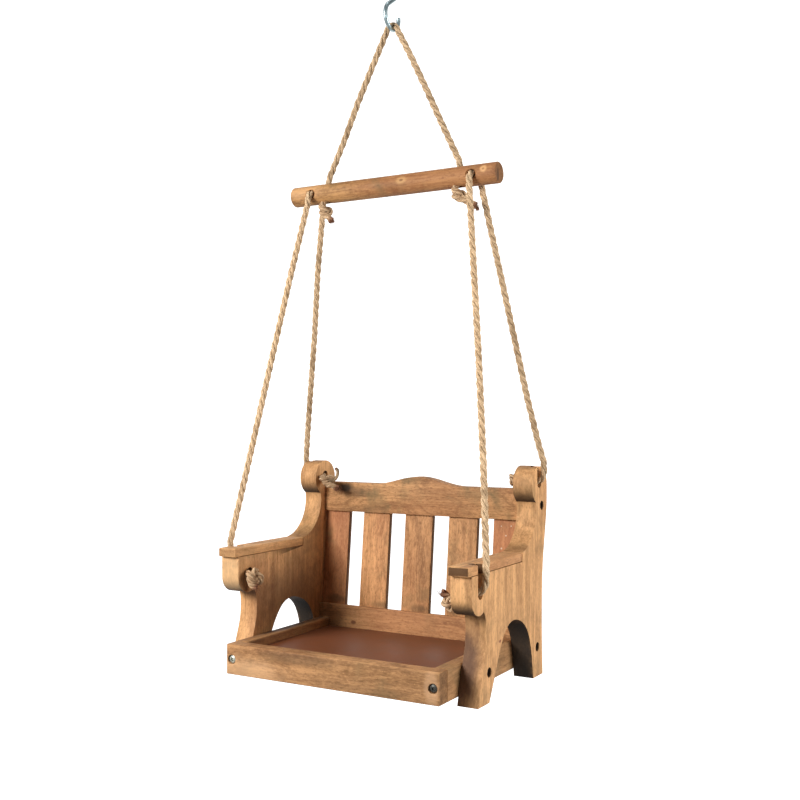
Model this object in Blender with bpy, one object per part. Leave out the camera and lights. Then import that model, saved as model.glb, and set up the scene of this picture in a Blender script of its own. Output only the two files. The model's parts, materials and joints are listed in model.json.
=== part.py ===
"""Hanging bird feeder in the shape of a porch swing: a small bench with a seed tray,
four rope legs, a wooden spreader bar, a hanger rope and an S-hook.

Everything is laid out from the feet of the bench: Z is the height above them, X runs
across from the middle, and Y runs back from a line across the seat. The whole is then
moved so that the origin is where the S-hook rests on its support. The front faces -Y.
"""
import math

import bmesh
import bpy
from mathutils import Matrix, Vector

MM = 0.001

# ---- fits ------------------------------------------------------------------
FIT = 0.3 * MM                 # gap between pieces that touch
BORE_FIT = 0.3 * MM            # gap round a shank in its hole
ROPE_FIT = 1.0 * MM            # gap round the rope in the bar's holes
SLING_PLAY = 2.5 * MM          # room that the opened rope pivots need at full sway

# ---- bench -----------------------------------------------------------------
WIDTH = 254 * MM               # over the side panels
PANEL_T = 19 * MM              # side panel thickness
ARM_TOP = 107.9 * MM           # top of the panel's arm, under the armrest
ARM_BACK = 41.3 * MM           # where the armrest ends and the post begins
KNOB_Y = -45.5 * MM            # centre of the scroll at the front of the arm
KNOB_DROP = 18.4 * MM          # and how far it is below the arm's top
KNOB_R = 15 * MM
EAR_Y = 80.8 * MM              # centre of the round ear at the top of the post
EAR_Z = 173.3 * MM
EAR_R = 17.5 * MM

ARMREST_T = 7.8 * MM
ARMREST_OVERHANG = 5 * MM      # ahead of the scroll

RAIL_T = 12 * MM
BOTTOM_RAIL_Y = 69.3 * MM      # front faces of the two rails
TOP_RAIL_Y = 80.1 * MM
BOTTOM_RAIL_TOP = 47.1 * MM
TOP_RAIL_BOTTOM = 140 * MM
TOP_RAIL_H = 29 * MM           # at the ends
CAMEL_H = 8 * MM               # rise in the middle of the top rail
CAMEL_HALF = 48 * MM           # half of the length that rises

SLAT_T = 5.5 * MM
SLAT_W = 30.4 * MM
SLAT_PITCH = 48 * MM
SLAT_EDGE = 80 * MM            # inner edge of the two outer slats
SLAT_LAP = 12 * MM             # how far a slat runs behind each rail
SLAT_LEAN = math.radians(5.8)
SLAT_SETBACK = 4.6 * MM        # slat face behind the bottom rail's face at its top edge
NAIL_R = 0.8 * MM
NAIL_HEAD_R = 1.8 * MM
NAIL_HEAD_T = 0.8 * MM
NAIL_BITE = 2.6 * MM

TRAY_BOTTOM = 6.3 * MM
TRAY_H = 26.9 * MM
TRAY_FRONT_Y = -78.3 * MM
TRAY_FRONT_T = 14 * MM
TRAY_SIDE_T = 12 * MM
TRAY_SIDE_GAP = 0.7 * MM       # tray side to side panel
FLOOR_T = 4 * MM
FLOOR_DROP = 7.6 * MM          # floor below the rim of the tray
CLEAT_T = 10 * MM
EDGE = 0.7 * MM                # worn edge of every board

# ---- screws ----------------------------------------------------------------
SCREW_R = 1.9 * MM
SCREW_HEAD_R = 3.7 * MM
SCREW_HEAD_T = 2.4 * MM
SINK_R = 4.2 * MM              # the hole that a head is sunk into
SINK_DEPTH = 4.5 * MM          # head seat below the panel's face
FRONT_SINK_DEPTH = 3.0 * MM
SCREW_BITE = 18 * MM

# ---- rope ------------------------------------------------------------------
ROPE_R = 3 * MM
SLOT_PLAY = 3.5 * MM           # the rope's hole and slot in arm and ear are this much wider than it
ROPE_SLOT_DEPTH = 7 * MM
ARM_HOLE_AT = (1.5 * MM, 2.7 * MM)     # rope hole's centre from the scroll's centre, Y and Z
EAR_HOLE_AT = (-0.5 * MM, 2.2 * MM)    # and from the ear's centre
ROPE_OUT = 1.5 * MM            # rope clear of the panel's outer face
KNOT_R = 9 * MM
TAIL_LENGTH = 13 * MM

# ---- spreader bar and hook -------------------------------------------------
HANG_Y = 31 * MM               # the plane in which bar and hook hang, about over the bench's weight
BAR_LENGTH = 220 * MM
BAR_R = 9.5 * MM
BAR_Z = 451 * MM
BAR_CHAMFER = 1.5 * MM
HANGER_FROM_END = 39 * MM      # hanger rope hole to the bar's end
SLING_FROM_END = 24 * MM       # sling rope hole to the bar's end
HANGER_RISE = 146 * MM         # the bar's middle to the hook's lowest point
HOOK_WIRE_R = 2 * MM
HOOK_BEND_R = 12 * MM
HOOK_CENTRES = 29.5 * MM       # between the centres of its two bends
HOOK_TIP = math.radians(12)    # how far each tip rises past its bend's middle
ROPE_ON_WIRE = 1.0 * MM        # gap between the hook's wire and the rope's inside

# ---- worked out from these -------------------------------------------------
HALF = WIDTH / 2
INNER = HALF - PANEL_T
KNOB_Z = ARM_TOP - KNOB_DROP
ARM_HOLE_Y = KNOB_Y + ARM_HOLE_AT[0]
ARM_HOLE_Z = KNOB_Z + ARM_HOLE_AT[1]
EAR_HOLE_Y = EAR_Y + EAR_HOLE_AT[0]
EAR_HOLE_Z = EAR_Z + EAR_HOLE_AT[1]
HANGER_X = BAR_LENGTH / 2 - HANGER_FROM_END
SLING_X = BAR_LENGTH / 2 - SLING_FROM_END
ARMREST_TOP = ARM_TOP + FIT + ARMREST_T
HOOK_BOTTOM_Z = BAR_Z + HANGER_RISE
HOOK_LOW_Z = HOOK_BOTTOM_Z + HOOK_BEND_R        # centre of the hook's lower bend
SADDLE_Z = HOOK_LOW_Z + HOOK_CENTRES + HOOK_BEND_R - HOOK_WIRE_R
ORIGIN = Vector((0, HANG_Y, SADDLE_Z))
ROPE_SLOT_W = 2 * ROPE_R + SLOT_PLAY
PIVOT_ABOVE = ROPE_R + FIT                      # a rope pivot over the wood that it leaves
PIVOT_X = HALF + ROPE_OUT + ROPE_R
ARM_PIVOT = Vector((PIVOT_X, ARM_HOLE_Y + 1 * MM, ARMREST_TOP + PIVOT_ABOVE))
EAR_PIVOT = Vector((PIVOT_X, EAR_HOLE_Y, EAR_Z + EAR_R + PIVOT_ABOVE))
MOUTH_Y = BAR_R + ROPE_R + 0.5 * MM
ARCH_R = HOOK_WIRE_R + ROPE_ON_WIRE + ROPE_R

# ---- colours ---------------------------------------------------------------
FINISHES = {
    "panel_wood": ((0.50, 0.27, 0.12), 0.65, 0.0),
    "board_wood": ((0.40, 0.20, 0.09), 0.65, 0.0),
    "slat_wood": ((0.43, 0.20, 0.09), 0.65, 0.0),
    "bar_wood": ((0.30, 0.16, 0.08), 0.65, 0.0),
    "floor_board": ((0.18, 0.06, 0.03), 0.55, 0.0),
    "rope": ((0.55, 0.38, 0.20), 0.9, 0.0),
    "zinc": ((0.62, 0.68, 0.70), 0.35, 1.0),
    "dark_steel": ((0.10, 0.09, 0.08), 0.45, 1.0),
}


def clear_scene():
    for old in list(bpy.data.objects):
        bpy.data.objects.remove(old, do_unlink=True)


def finish(name):
    material = bpy.data.materials.get(name)
    if material:
        return material
    colour, roughness, metallic = FINISHES[name]
    material = bpy.data.materials.new(name)
    material.use_nodes = True
    shader = material.node_tree.nodes["Principled BSDF"]
    shader.inputs["Base Color"].default_value = (*colour, 1)
    shader.inputs["Roughness"].default_value = roughness
    shader.inputs["Metallic"].default_value = metallic
    return material


def body(name, pivot):
    """An empty on the joint of a moving body; its pieces are modelled from the feet."""
    empty = bpy.data.objects.new(name, None)
    empty.location = Vector(pivot) - ORIGIN
    empty["pivot"] = tuple(pivot)
    bpy.context.collection.objects.link(empty)
    return empty


def place(obj, owner, look):
    obj.data.materials.clear()
    obj.data.materials.append(finish(look))
    bpy.context.collection.objects.link(obj)
    obj.parent = owner
    obj.location = -Vector(owner["pivot"])
    return obj


def mesh_object(name, bm, owner, look, smooth_angle=None):
    bmesh.ops.recalc_face_normals(bm, faces=bm.faces)
    mesh = bpy.data.meshes.new(name)
    bm.to_mesh(mesh)
    bm.free()
    if smooth_angle:
        mesh.shade_smooth()
        mesh.set_sharp_from_angle(angle=math.radians(smooth_angle))
    return place(bpy.data.objects.new(name, mesh), owner, look)


# ---- solids ----------------------------------------------------------------
def box_mesh(low, high, edge=0.0):
    bm = bmesh.new()
    bmesh.ops.create_cube(bm, size=1)
    size = Vector(high) - Vector(low)
    bmesh.ops.scale(bm, vec=size, verts=bm.verts)
    bmesh.ops.translate(bm, vec=(Vector(low) + Vector(high)) / 2, verts=bm.verts)
    if edge:
        bmesh.ops.bevel(bm, geom=bm.edges[:], offset=edge, segments=1, affect="EDGES", profile=0.5)
    return bm


def board(name, low, high, owner, look="board_wood"):
    return mesh_object(name, box_mesh(low, high, EDGE), owner, look)


def extrude_outline(points, axis, start, end):
    """A closed outline of 2-D points, extruded along X or Y from start to end."""
    def at(point, depth):
        first, second = point
        return (depth, first, second) if axis == "X" else (first, depth, second)

    bm = bmesh.new()
    near = [bm.verts.new(at(p, start)) for p in points]
    far = [bm.verts.new(at(p, end)) for p in points]
    bm.faces.new(near)
    bm.faces.new(list(reversed(far)))
    for i in range(len(points)):
        j = (i + 1) % len(points)
        bm.faces.new((near[i], far[i], far[j], near[j]))
    return bm


def turned(profile, sides, start, direction):
    """Turns (distance, radius) pairs about a line; the ends close with flat caps."""
    turn = Vector(direction).to_track_quat("Z", "Y").to_matrix().to_4x4()
    bm = bmesh.new()
    rings = []
    for distance, radius in profile:
        ring = []
        for k in range(sides):
            angle = 2 * math.pi * k / sides
            ring.append(bm.verts.new((radius * math.cos(angle), radius * math.sin(angle), distance)))
        rings.append(ring)
    for low, high in zip(rings, rings[1:]):
        for k in range(sides):
            bm.faces.new((low[k], low[(k + 1) % sides], high[(k + 1) % sides], high[k]))
    bm.faces.new(list(reversed(rings[0])))
    bm.faces.new(rings[-1])
    bmesh.ops.transform(bm, matrix=Matrix.Translation(start) @ turn, verts=bm.verts)
    return bm


def tube_mesh(points, radii, sides=10):
    """A closed tube through the points, with a radius at each."""
    bm = bmesh.new()
    points = [Vector(p) for p in points]
    rings = []
    side = None
    for i, point in enumerate(points):
        ahead = points[min(i + 1, len(points) - 1)]
        behind = points[max(i - 1, 0)]
        along = (ahead - behind).normalized()
        if side is None:
            side = along.orthogonal().normalized()
        side = (side - along * side.dot(along)).normalized()
        up = along.cross(side)
        ring = []
        for k in range(sides):
            angle = 2 * math.pi * k / sides
            offset = side * math.cos(angle) + up * math.sin(angle)
            ring.append(bm.verts.new(point + offset * radii[i]))
        rings.append(ring)
    for low, high in zip(rings, rings[1:]):
        for k in range(sides):
            bm.faces.new((low[k], low[(k + 1) % sides], high[(k + 1) % sides], high[k]))
    bm.faces.new(list(reversed(rings[0])))
    bm.faces.new(rings[-1])
    return bm


def cutter(name, bm, owner):
    obj = mesh_object(name, bm, owner, "dark_steel")
    obj.hide_render = True
    obj.display_type = "WIRE"
    return obj


def cut(obj, tool, operation="DIFFERENCE"):
    modifier = obj.modifiers.new(tool.name, "BOOLEAN")
    modifier.operation = operation
    modifier.solver = "EXACT"
    modifier.object = tool


def curve_points(knots, steps=6):
    """A smooth Catmull-Rom curve through hand-placed points of any dimension."""
    points = [Vector(k) for k in knots]
    line = [points[0] * 2 - points[1]] + points + [points[-1] * 2 - points[-2]]
    smooth = []
    for i in range(1, len(line) - 2):
        a, b, c, d = line[i - 1:i + 3]
        for step in range(steps):
            t = step / steps
            smooth.append(0.5 * (2 * b + (c - a) * t + (2 * a - 5 * b + 4 * c - d) * t * t
                                 + (3 * b - 3 * c + d - a) * t ** 3))
    return smooth + [points[-1]]


def arc(centre, radius, start, end, steps):
    """Points on an arc, angles in degrees."""
    points = []
    for k in range(steps + 1):
        angle = math.radians(start + (end - start) * k / steps)
        points.append(Vector((centre[0] + radius * math.cos(angle),
                              centre[1] + radius * math.sin(angle))))
    return points


def rope_tube(name, points, owner, round_start=True, round_end=True):
    """A length of rope; a round end is a ball centred on the path's own end point."""
    points = [Vector(p) for p in points]
    path = [(p, 1.0) for p in points]
    cap = [(0.96, 0.28), (0.78, 0.63), (0.45, 0.89)]
    if round_start:
        away = (points[0] - points[1]).normalized() * ROPE_R
        path = [(points[0] + away * reach, size) for reach, size in cap] + path
    if round_end:
        away = (points[-1] - points[-2]).normalized() * ROPE_R
        path += [(points[-1] + away * reach, size) for reach, size in reversed(cap)]
    curve = bpy.data.curves.new(name, "CURVE")
    curve.dimensions = "3D"
    curve.bevel_depth = ROPE_R
    curve.bevel_resolution = 3
    curve.use_fill_caps = True
    curve.resolution_u = 1
    spline = curve.splines.new("POLY")
    spline.points.add(len(path) - 1)
    for point, (place_at, size) in zip(spline.points, path):
        point.co = (*place_at, 1)
        point.radius = size
    return place(bpy.data.objects.new(name, curve), owner, "rope")


# ---- bench pieces ----------------------------------------------------------
def panel_outline():
    """The side of the bench, front to the left: leg, scroll, arm, post, ear, back and arch.

    The leg's and the back's points are offsets from the scroll and the ear with shares of
    their heights, and the sweep from arm to ear has shares of its two sides.
    """
    leg = [(-3.2, 0), (0.9, 0.162), (5.1, 0.324), (8.3, 0.425), (11.1, 0.533), (12.2, 0.648),
           (11.9, 0.749), (10.3, 0.816)]
    outline = curve_points([(KNOB_Y + y * MM, KNOB_Z * share) for y, share in leg], 3)
    outline += arc((KNOB_Y, KNOB_Z), KNOB_R, -58, -180, 12)
    outline += [Vector((KNOB_Y - KNOB_R, ARM_TOP)), Vector((ARM_BACK, ARM_TOP))]
    neck = Vector((EAR_Y - EAR_R * 0.47, EAR_Z - EAR_R * 1.02))
    sweep = [(0, 0), (0.294, 0.066), (0.55, 0.192), (0.783, 0.38), (0.936, 0.608), (1, 0.835), (1, 1)]
    outline += curve_points([(ARM_BACK + (neck.x - ARM_BACK) * across,
                              ARMREST_TOP + (neck.y - ARMREST_TOP) * up) for across, up in sweep], 3)
    outline += arc((EAR_Y, EAR_Z), EAR_R, 240, 0, 28)
    back = [(0, 1), (0.1, 0.923), (-1.3, 0.842), (-4.3, 0.75), (-7.9, 0.646), (-10.9, 0.519),
            (-11.9, 0.346), (-11.7, 0.173), (-10.3, 0)]
    outline += curve_points([(EAR_Y + EAR_R + y * MM, EAR_Z * share) for y, share in back], 2)[1:]
    arch = [(65.7, 0), (62.4, 21), (57.6, 37), (51, 47.5), (42, 54.5), (32, 58.5), (22, 60), (12.5, 58),
            (4.5, 53), (-3, 44), (-8.6, 35), (-17.2, 18), (-26.9, 0)]
    outline += curve_points([(y * MM, z * MM) for y, z in arch], 2)
    return outline


def slot_cutters(seat, side, tag, hole_y, hole_z, top):
    """The rope's hole through the panel, and the slot that runs from it up the outer face."""
    outer = side * (HALF + 5 * MM)
    inner = side * (INNER - 5 * MM)
    hole = turned([(0, ROPE_SLOT_W / 2), (abs(outer - inner), ROPE_SLOT_W / 2)], 20,
                  (inner, hole_y, hole_z), (side, 0, 0))
    hole_tool = cutter("cut_hole_" + tag, hole, seat)
    bottom = side * (HALF - ROPE_SLOT_DEPTH)
    low = (min(bottom, outer), hole_y - ROPE_SLOT_W / 2 + 0.01 * MM, hole_z)
    high = (max(bottom, outer), hole_y + ROPE_SLOT_W / 2 - 0.01 * MM, top + 10 * MM)
    slot_tool = cutter("cut_slot_" + tag, box_mesh(low, high), seat)
    return hole_tool, slot_tool


def screw(name, head_at, direction, bite_length, seat):
    """A pan-head screw: head_at is the seat under its head, direction points the way it drives."""
    direction = Vector(direction)
    profile = [(-SCREW_HEAD_T, SCREW_HEAD_R * 0.55), (-SCREW_HEAD_T * 0.72, SCREW_HEAD_R * 0.88),
               (-SCREW_HEAD_T * 0.3, SCREW_HEAD_R), (0, SCREW_HEAD_R), (0, SCREW_R),
               (bite_length - 3 * MM, SCREW_R), (bite_length, SCREW_R * 0.3)]
    return mesh_object(name, turned(profile, 16, head_at, direction), seat, "dark_steel", 40)


def screw_cutters(tag, head_at, direction, sink_depth, bite_length, seat):
    """The sunk hole for the head and the bore for the shank."""
    direction = Vector(direction)
    sink = turned([(-sink_depth - 5 * MM, SINK_R), (FIT, SINK_R)], 20, head_at, direction)
    bore = turned([(-2 * MM, SCREW_R + BORE_FIT), (bite_length + 1 * MM, SCREW_R + BORE_FIT)], 12,
                  head_at, direction)
    return cutter("cut_sink_" + tag, sink, seat), cutter("cut_bore_" + tag, bore, seat)


def slat_frame():
    """Axes of the leaning back: across, up the slats, and out of their back faces."""
    up = Vector((0, math.sin(SLAT_LEAN), math.cos(SLAT_LEAN)))
    out = Vector((0, math.cos(SLAT_LEAN), -math.sin(SLAT_LEAN)))
    foot = Vector((0, BOTTOM_RAIL_Y + SLAT_SETBACK, BOTTOM_RAIL_TOP))
    return up, out, foot


def leaning_box(x_low, x_high, up_low, up_high, out_low, out_high, edge=0.0):
    up, out, foot = slat_frame()
    bm = box_mesh((x_low, out_low, up_low), (x_high, out_high, up_high), edge)
    frame = Matrix((Vector((1, 0, 0)), out, up)).transposed().to_4x4()
    bmesh.ops.transform(bm, matrix=Matrix.Translation(foot) @ frame, verts=bm.verts)
    return bm


def slat_spans():
    """Low and high X of the five slats; the outer two are cut to fit the panels."""
    edge = INNER - FIT
    spans = [(-edge, -SLAT_EDGE)]
    for k in (-1, 0, 1):
        spans.append((k * SLAT_PITCH - SLAT_W / 2, k * SLAT_PITCH + SLAT_W / 2))
    spans.append((SLAT_EDGE, edge))
    return spans


def build_back(seat):
    """Rails, slats and the nails that hold the slats."""
    up, out, foot = slat_frame()
    reach = (TOP_RAIL_BOTTOM - BOTTOM_RAIL_TOP) / math.cos(SLAT_LEAN)
    low_end = -SLAT_LAP
    high_end = reach + SLAT_LAP
    x_edge = INNER - FIT

    bottom = board("bottom_rail", (-x_edge, BOTTOM_RAIL_Y, TRAY_BOTTOM),
                   (x_edge, BOTTOM_RAIL_Y + RAIL_T, BOTTOM_RAIL_TOP), seat)
    outline = [Vector((-x_edge, TOP_RAIL_BOTTOM)), Vector((x_edge, TOP_RAIL_BOTTOM)),
               Vector((x_edge, TOP_RAIL_BOTTOM + TOP_RAIL_H))]
    steps = 24
    for k in range(steps + 1):
        x = CAMEL_HALF * (1 - 2 * k / steps)
        rise = CAMEL_H * 0.5 * (1 + math.cos(math.pi * x / CAMEL_HALF))
        outline.append(Vector((x, TOP_RAIL_BOTTOM + TOP_RAIL_H + rise)))
    outline.append(Vector((-x_edge, TOP_RAIL_BOTTOM + TOP_RAIL_H)))
    top = mesh_object("top_rail", extrude_outline(outline, "Y", TOP_RAIL_Y, TOP_RAIL_Y + RAIL_T), seat,
                      "board_wood", 30)

    rebate = cutter("cut_rebate", leaning_box(-WIDTH, WIDTH, low_end - FIT, high_end + FIT, -FIT, 20 * MM), seat)
    cut(bottom, rebate)
    cut(top, rebate)

    for number, (x_low, x_high) in enumerate(slat_spans(), 1):
        slat = mesh_object(f"slat_{number}", leaning_box(x_low, x_high, low_end, high_end, 0, SLAT_T, EDGE),
                           seat, "slat_wood")
        for tag, rail, height in (("low", bottom, low_end / 2), ("high", top, reach + SLAT_LAP / 2)):
            seat_at = foot + up * height + out * (SLAT_T + FIT) + Vector(((x_low + x_high) / 2, 0, 0))
            length = SLAT_T + NAIL_BITE
            profile = [(-NAIL_HEAD_T, NAIL_HEAD_R * 0.8), (-NAIL_HEAD_T * 0.4, NAIL_HEAD_R), (0, NAIL_HEAD_R),
                       (0, NAIL_R), (length, NAIL_R * 0.6)]
            name = f"slat_nail_{number}_{tag}"
            mesh_object(name, turned(profile, 10, seat_at, -out), seat, "zinc", 40)
            bore = turned([(-1 * MM, NAIL_R + BORE_FIT), (length + 0.4 * MM, NAIL_R + BORE_FIT)], 8, seat_at, -out)
            tool = cutter("cut_" + name, bore, seat)
            cut(slat, tool)
            cut(rail, tool)
    return bottom, top


def build_tray(seat):
    """Front board, side boards, floor panel and the cleats that it lies on."""
    x_edge = INNER - TRAY_SIDE_GAP
    rim = TRAY_BOTTOM + TRAY_H
    front_back = TRAY_FRONT_Y + TRAY_FRONT_T
    front = board("tray_front_board", (-x_edge, TRAY_FRONT_Y, TRAY_BOTTOM), (x_edge, front_back, rim), seat)
    floor_top = rim - FLOOR_DROP
    inner = x_edge - TRAY_SIDE_T
    sides = {}
    for side, tag in ((-1, "left"), (1, "right")):
        ends = sorted((side * inner, side * x_edge))
        sides[tag] = board("tray_side_" + tag, (ends[0], front_back + FIT, TRAY_BOTTOM),
                           (ends[1], BOTTOM_RAIL_Y - FIT, rim), seat)
        ends = sorted((side * (inner - FIT), side * (inner - FIT - CLEAT_T)))
        board("tray_cleat_" + tag, (ends[0], front_back + FIT, TRAY_BOTTOM + 4 * MM),
              (ends[1], BOTTOM_RAIL_Y - FIT, floor_top - FLOOR_T - FIT), seat)

        head_at = (side * (x_edge - TRAY_SIDE_T / 2), TRAY_FRONT_Y + FRONT_SINK_DEPTH, TRAY_BOTTOM + TRAY_H / 2)
        length = TRAY_FRONT_T + SCREW_BITE
        screw("tray_screw_" + tag, head_at, (0, 1, 0), length, seat)
        sink, bore = screw_cutters("tray_" + tag, head_at, (0, 1, 0), FRONT_SINK_DEPTH, length, seat)
        cut(front, sink)
        cut(front, bore)
        cut(sides[tag], bore)
    mesh_object("tray_floor", box_mesh((-inner + FIT, front_back + FIT, floor_top - FLOOR_T),
                                       (inner - FIT, BOTTOM_RAIL_Y - FIT, floor_top), 0.4 * MM),
                seat, "floor_board")
    return sides


def build_side(seat, side, tag, bottom_rail, top_rail, tray_side):
    """One side panel with its armrest, its rope slots and its three screws."""
    faces = sorted((side * INNER, side * HALF))
    panel = mesh_object("side_panel_" + tag, extrude_outline(panel_outline(), "X", *faces), seat,
                        "panel_wood", 30)
    armrest = board("armrest_" + tag, (faces[0], KNOB_Y - KNOB_R - ARMREST_OVERHANG, ARM_TOP + FIT),
                    (faces[1], ARM_BACK - FIT, ARMREST_TOP), seat, "panel_wood")
    hole, slot = slot_cutters(seat, side, "arm_" + tag, ARM_HOLE_Y, ARM_HOLE_Z, ARMREST_TOP)
    cut(panel, hole)
    cut(panel, slot)
    cut(armrest, slot)
    hole, slot = slot_cutters(seat, side, "ear_" + tag, EAR_HOLE_Y, EAR_HOLE_Z, EAR_Z + EAR_R)
    cut(panel, hole)
    cut(panel, slot)

    reach = PANEL_T - SINK_DEPTH
    rail_mid = (TRAY_BOTTOM + BOTTOM_RAIL_TOP) / 2
    tray_mid = TRAY_BOTTOM + TRAY_H * 0.7
    top_mid = TOP_RAIL_BOTTOM + TOP_RAIL_H / 2
    places = (
        ("post", TOP_RAIL_Y + RAIL_T / 2, top_mid, SCREW_BITE, top_rail),
        ("back_leg", BOTTOM_RAIL_Y + RAIL_T / 2, rail_mid, SCREW_BITE, bottom_rail),
        ("front_leg", -27.4 * MM, tray_mid, TRAY_SIDE_T - 2 * MM, tray_side),
    )
    for spot, y, z, bite, other in places:
        head_at = (side * (HALF - SINK_DEPTH), y, z)
        name = f"{spot}_{tag}"
        screw("panel_screw_" + name, head_at, (-side, 0, 0), reach + bite, seat)
        sink, bore = screw_cutters(name, head_at, (-side, 0, 0), SINK_DEPTH, reach + bite, seat)
        cut(panel, sink)
        cut(panel, bore)
        cut(other, bore)


def knotted_end(name, stub, knot_at, tail, owner, squash=(1, 1, 1)):
    """A rope end: the stub in its hole, the knot against the wood and the cut tail."""
    bm = bmesh.new()
    bmesh.ops.create_uvsphere(bm, u_segments=16, v_segments=10, radius=KNOT_R)
    for v in bm.verts:
        ridge = 1 + 0.07 * math.sin(3 * math.atan2(v.co.y, v.co.x) + 2.5 * v.co.z / KNOT_R)
        v.co = Vector((v.co.x * squash[0], v.co.y * squash[1], v.co.z * squash[2])) * ridge
    bmesh.ops.translate(bm, vec=knot_at, verts=bm.verts)
    knot = mesh_object(name, bm, owner, "rope", 60)
    stub_tool = cutter("join_stub_" + name, tube_mesh(stub, [ROPE_R] * len(stub)), owner)
    radii = [ROPE_R * 0.95] * (len(tail) - 1) + [ROPE_R * 1.25]
    tail_tool = cutter("join_tail_" + name, tube_mesh(tail, radii, 8), owner)
    cut(knot, stub_tool, "UNION")
    cut(knot, tail_tool, "UNION")


def build_sling_ends(seat, side, tag):
    """The four rope ends in the panels: through the hole to a knot on the inner face."""
    knot_x = INNER - FIT - KNOT_R * 0.96
    down = (-2, -9)
    if side < 0:    # the left ear's knot hangs before the top rail, the right ear's lies on the rail's end
        back = (TOP_RAIL_Y - FIT - KNOT_R * 1.13, EAR_HOLE_Z - 6 * MM, down)
    else:
        back = (EAR_HOLE_Y, max(EAR_HOLE_Z, TOP_RAIL_BOTTOM + TOP_RAIL_H + FIT + KNOT_R * 1.13), (5, 2))
    ends = (
        ("front", ARM_PIVOT, ARM_HOLE_Y, ARM_HOLE_Z, ARM_HOLE_Y - 4 * MM, ARM_HOLE_Z - 4 * MM, down),
        ("back", EAR_PIVOT, EAR_HOLE_Y, EAR_HOLE_Z, *back),
    )
    for spot, pivot, hole_y, hole_z, knot_y, knot_z, lie in ends:
        top = pivot.z - ROPE_R - FIT - SLING_PLAY
        bend = [(PIVOT_X, pivot.y, top), (PIVOT_X, (pivot.y + hole_y) / 2, hole_z + 9 * MM),
                (HALF + 2.2 * MM, hole_y, hole_z + 2.2 * MM), (HALF - 5 * MM, hole_y, hole_z),
                (INNER + 3 * MM, hole_y, hole_z), (INNER - 1 * MM, hole_y - 1 * MM, hole_z),
                (knot_x, knot_y, knot_z)]
        stub = [Vector((side * p[0], p[1], p[2])) for p in curve_points(bend, 3)]
        knot_at = Vector((side * knot_x, knot_y, knot_z))
        away = Vector((-side * 8, *lie)).normalized()
        tail = [knot_at, knot_at + away * KNOT_R * 0.8, knot_at + away * (KNOT_R + TAIL_LENGTH)]
        knotted_end(f"sling_end_{spot}_{tag}", stub, knot_at, tail, seat, (0.9, 1.05, 1.05))


def build_seat(seat):
    bottom_rail, top_rail = build_back(seat)
    tray_sides = build_tray(seat)
    for side, tag in ((-1, "left"), (1, "right")):
        build_side(seat, side, tag, bottom_rail, top_rail, tray_sides[tag])
        build_sling_ends(seat, side, tag)


# ---- ropes, bar and hook ---------------------------------------------------
def straight(start, end, pieces):
    start, end = Vector(start), Vector(end)
    return [start.lerp(end, k / pieces) for k in range(pieces + 1)]


def build_sling(owner, side, tag):
    """The front and the back leg of one sling, from the bar down to the bench."""
    for spot, pivot, reach in (("front", ARM_PIVOT, -MOUTH_Y), ("back", EAR_PIVOT, MOUTH_Y)):
        top = (side * SLING_X, HANG_Y + reach, BAR_Z)
        foot = (side * pivot.x, pivot.y, pivot.z)
        rope_tube(f"sling_rope_{spot}_{tag}", straight(top, foot, 16), owner)


def hanger_angle():
    """Angle from upright of the hanger rope's legs, tangent to its bend over the hook."""
    angle = math.radians(25)
    drop = HOOK_BOTTOM_Z - (BAR_Z + BAR_R + PIVOT_ABOVE)
    for _ in range(20):
        angle = math.atan2(HANGER_X - ARCH_R * math.cos(angle), drop + ARCH_R * math.sin(angle))
    return angle


def hanger_tops():
    """The points where the hanger rope's legs leave its bend, left and right."""
    angle = hanger_angle()
    return [Vector((side * ARCH_R * math.cos(angle), HANG_Y, HOOK_BOTTOM_Z + ARCH_R * math.sin(angle)))
            for side in (-1, 1)]


def build_bight(owner):
    """The bend of the hanger rope over the hook's wire."""
    leave = math.degrees(hanger_angle() + (ROPE_R + FIT) / ARCH_R)
    points = [Vector((p.x, HANG_Y, p.y)) for p in arc((0, HOOK_BOTTOM_Z), ARCH_R, 180 - leave, leave, 8)]
    rope_tube("hanger_bight", points, owner, round_start=False, round_end=False)


def build_hanger(owner):
    foot_z = BAR_Z + BAR_R + PIVOT_ABOVE
    for (side, tag), top in zip(((-1, "left"), (1, "right")), hanger_tops()):
        foot = (side * HANGER_X, HANG_Y, foot_z)
        rope_tube("hanger_rope_" + tag, straight(top, foot, 8), owner)


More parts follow.
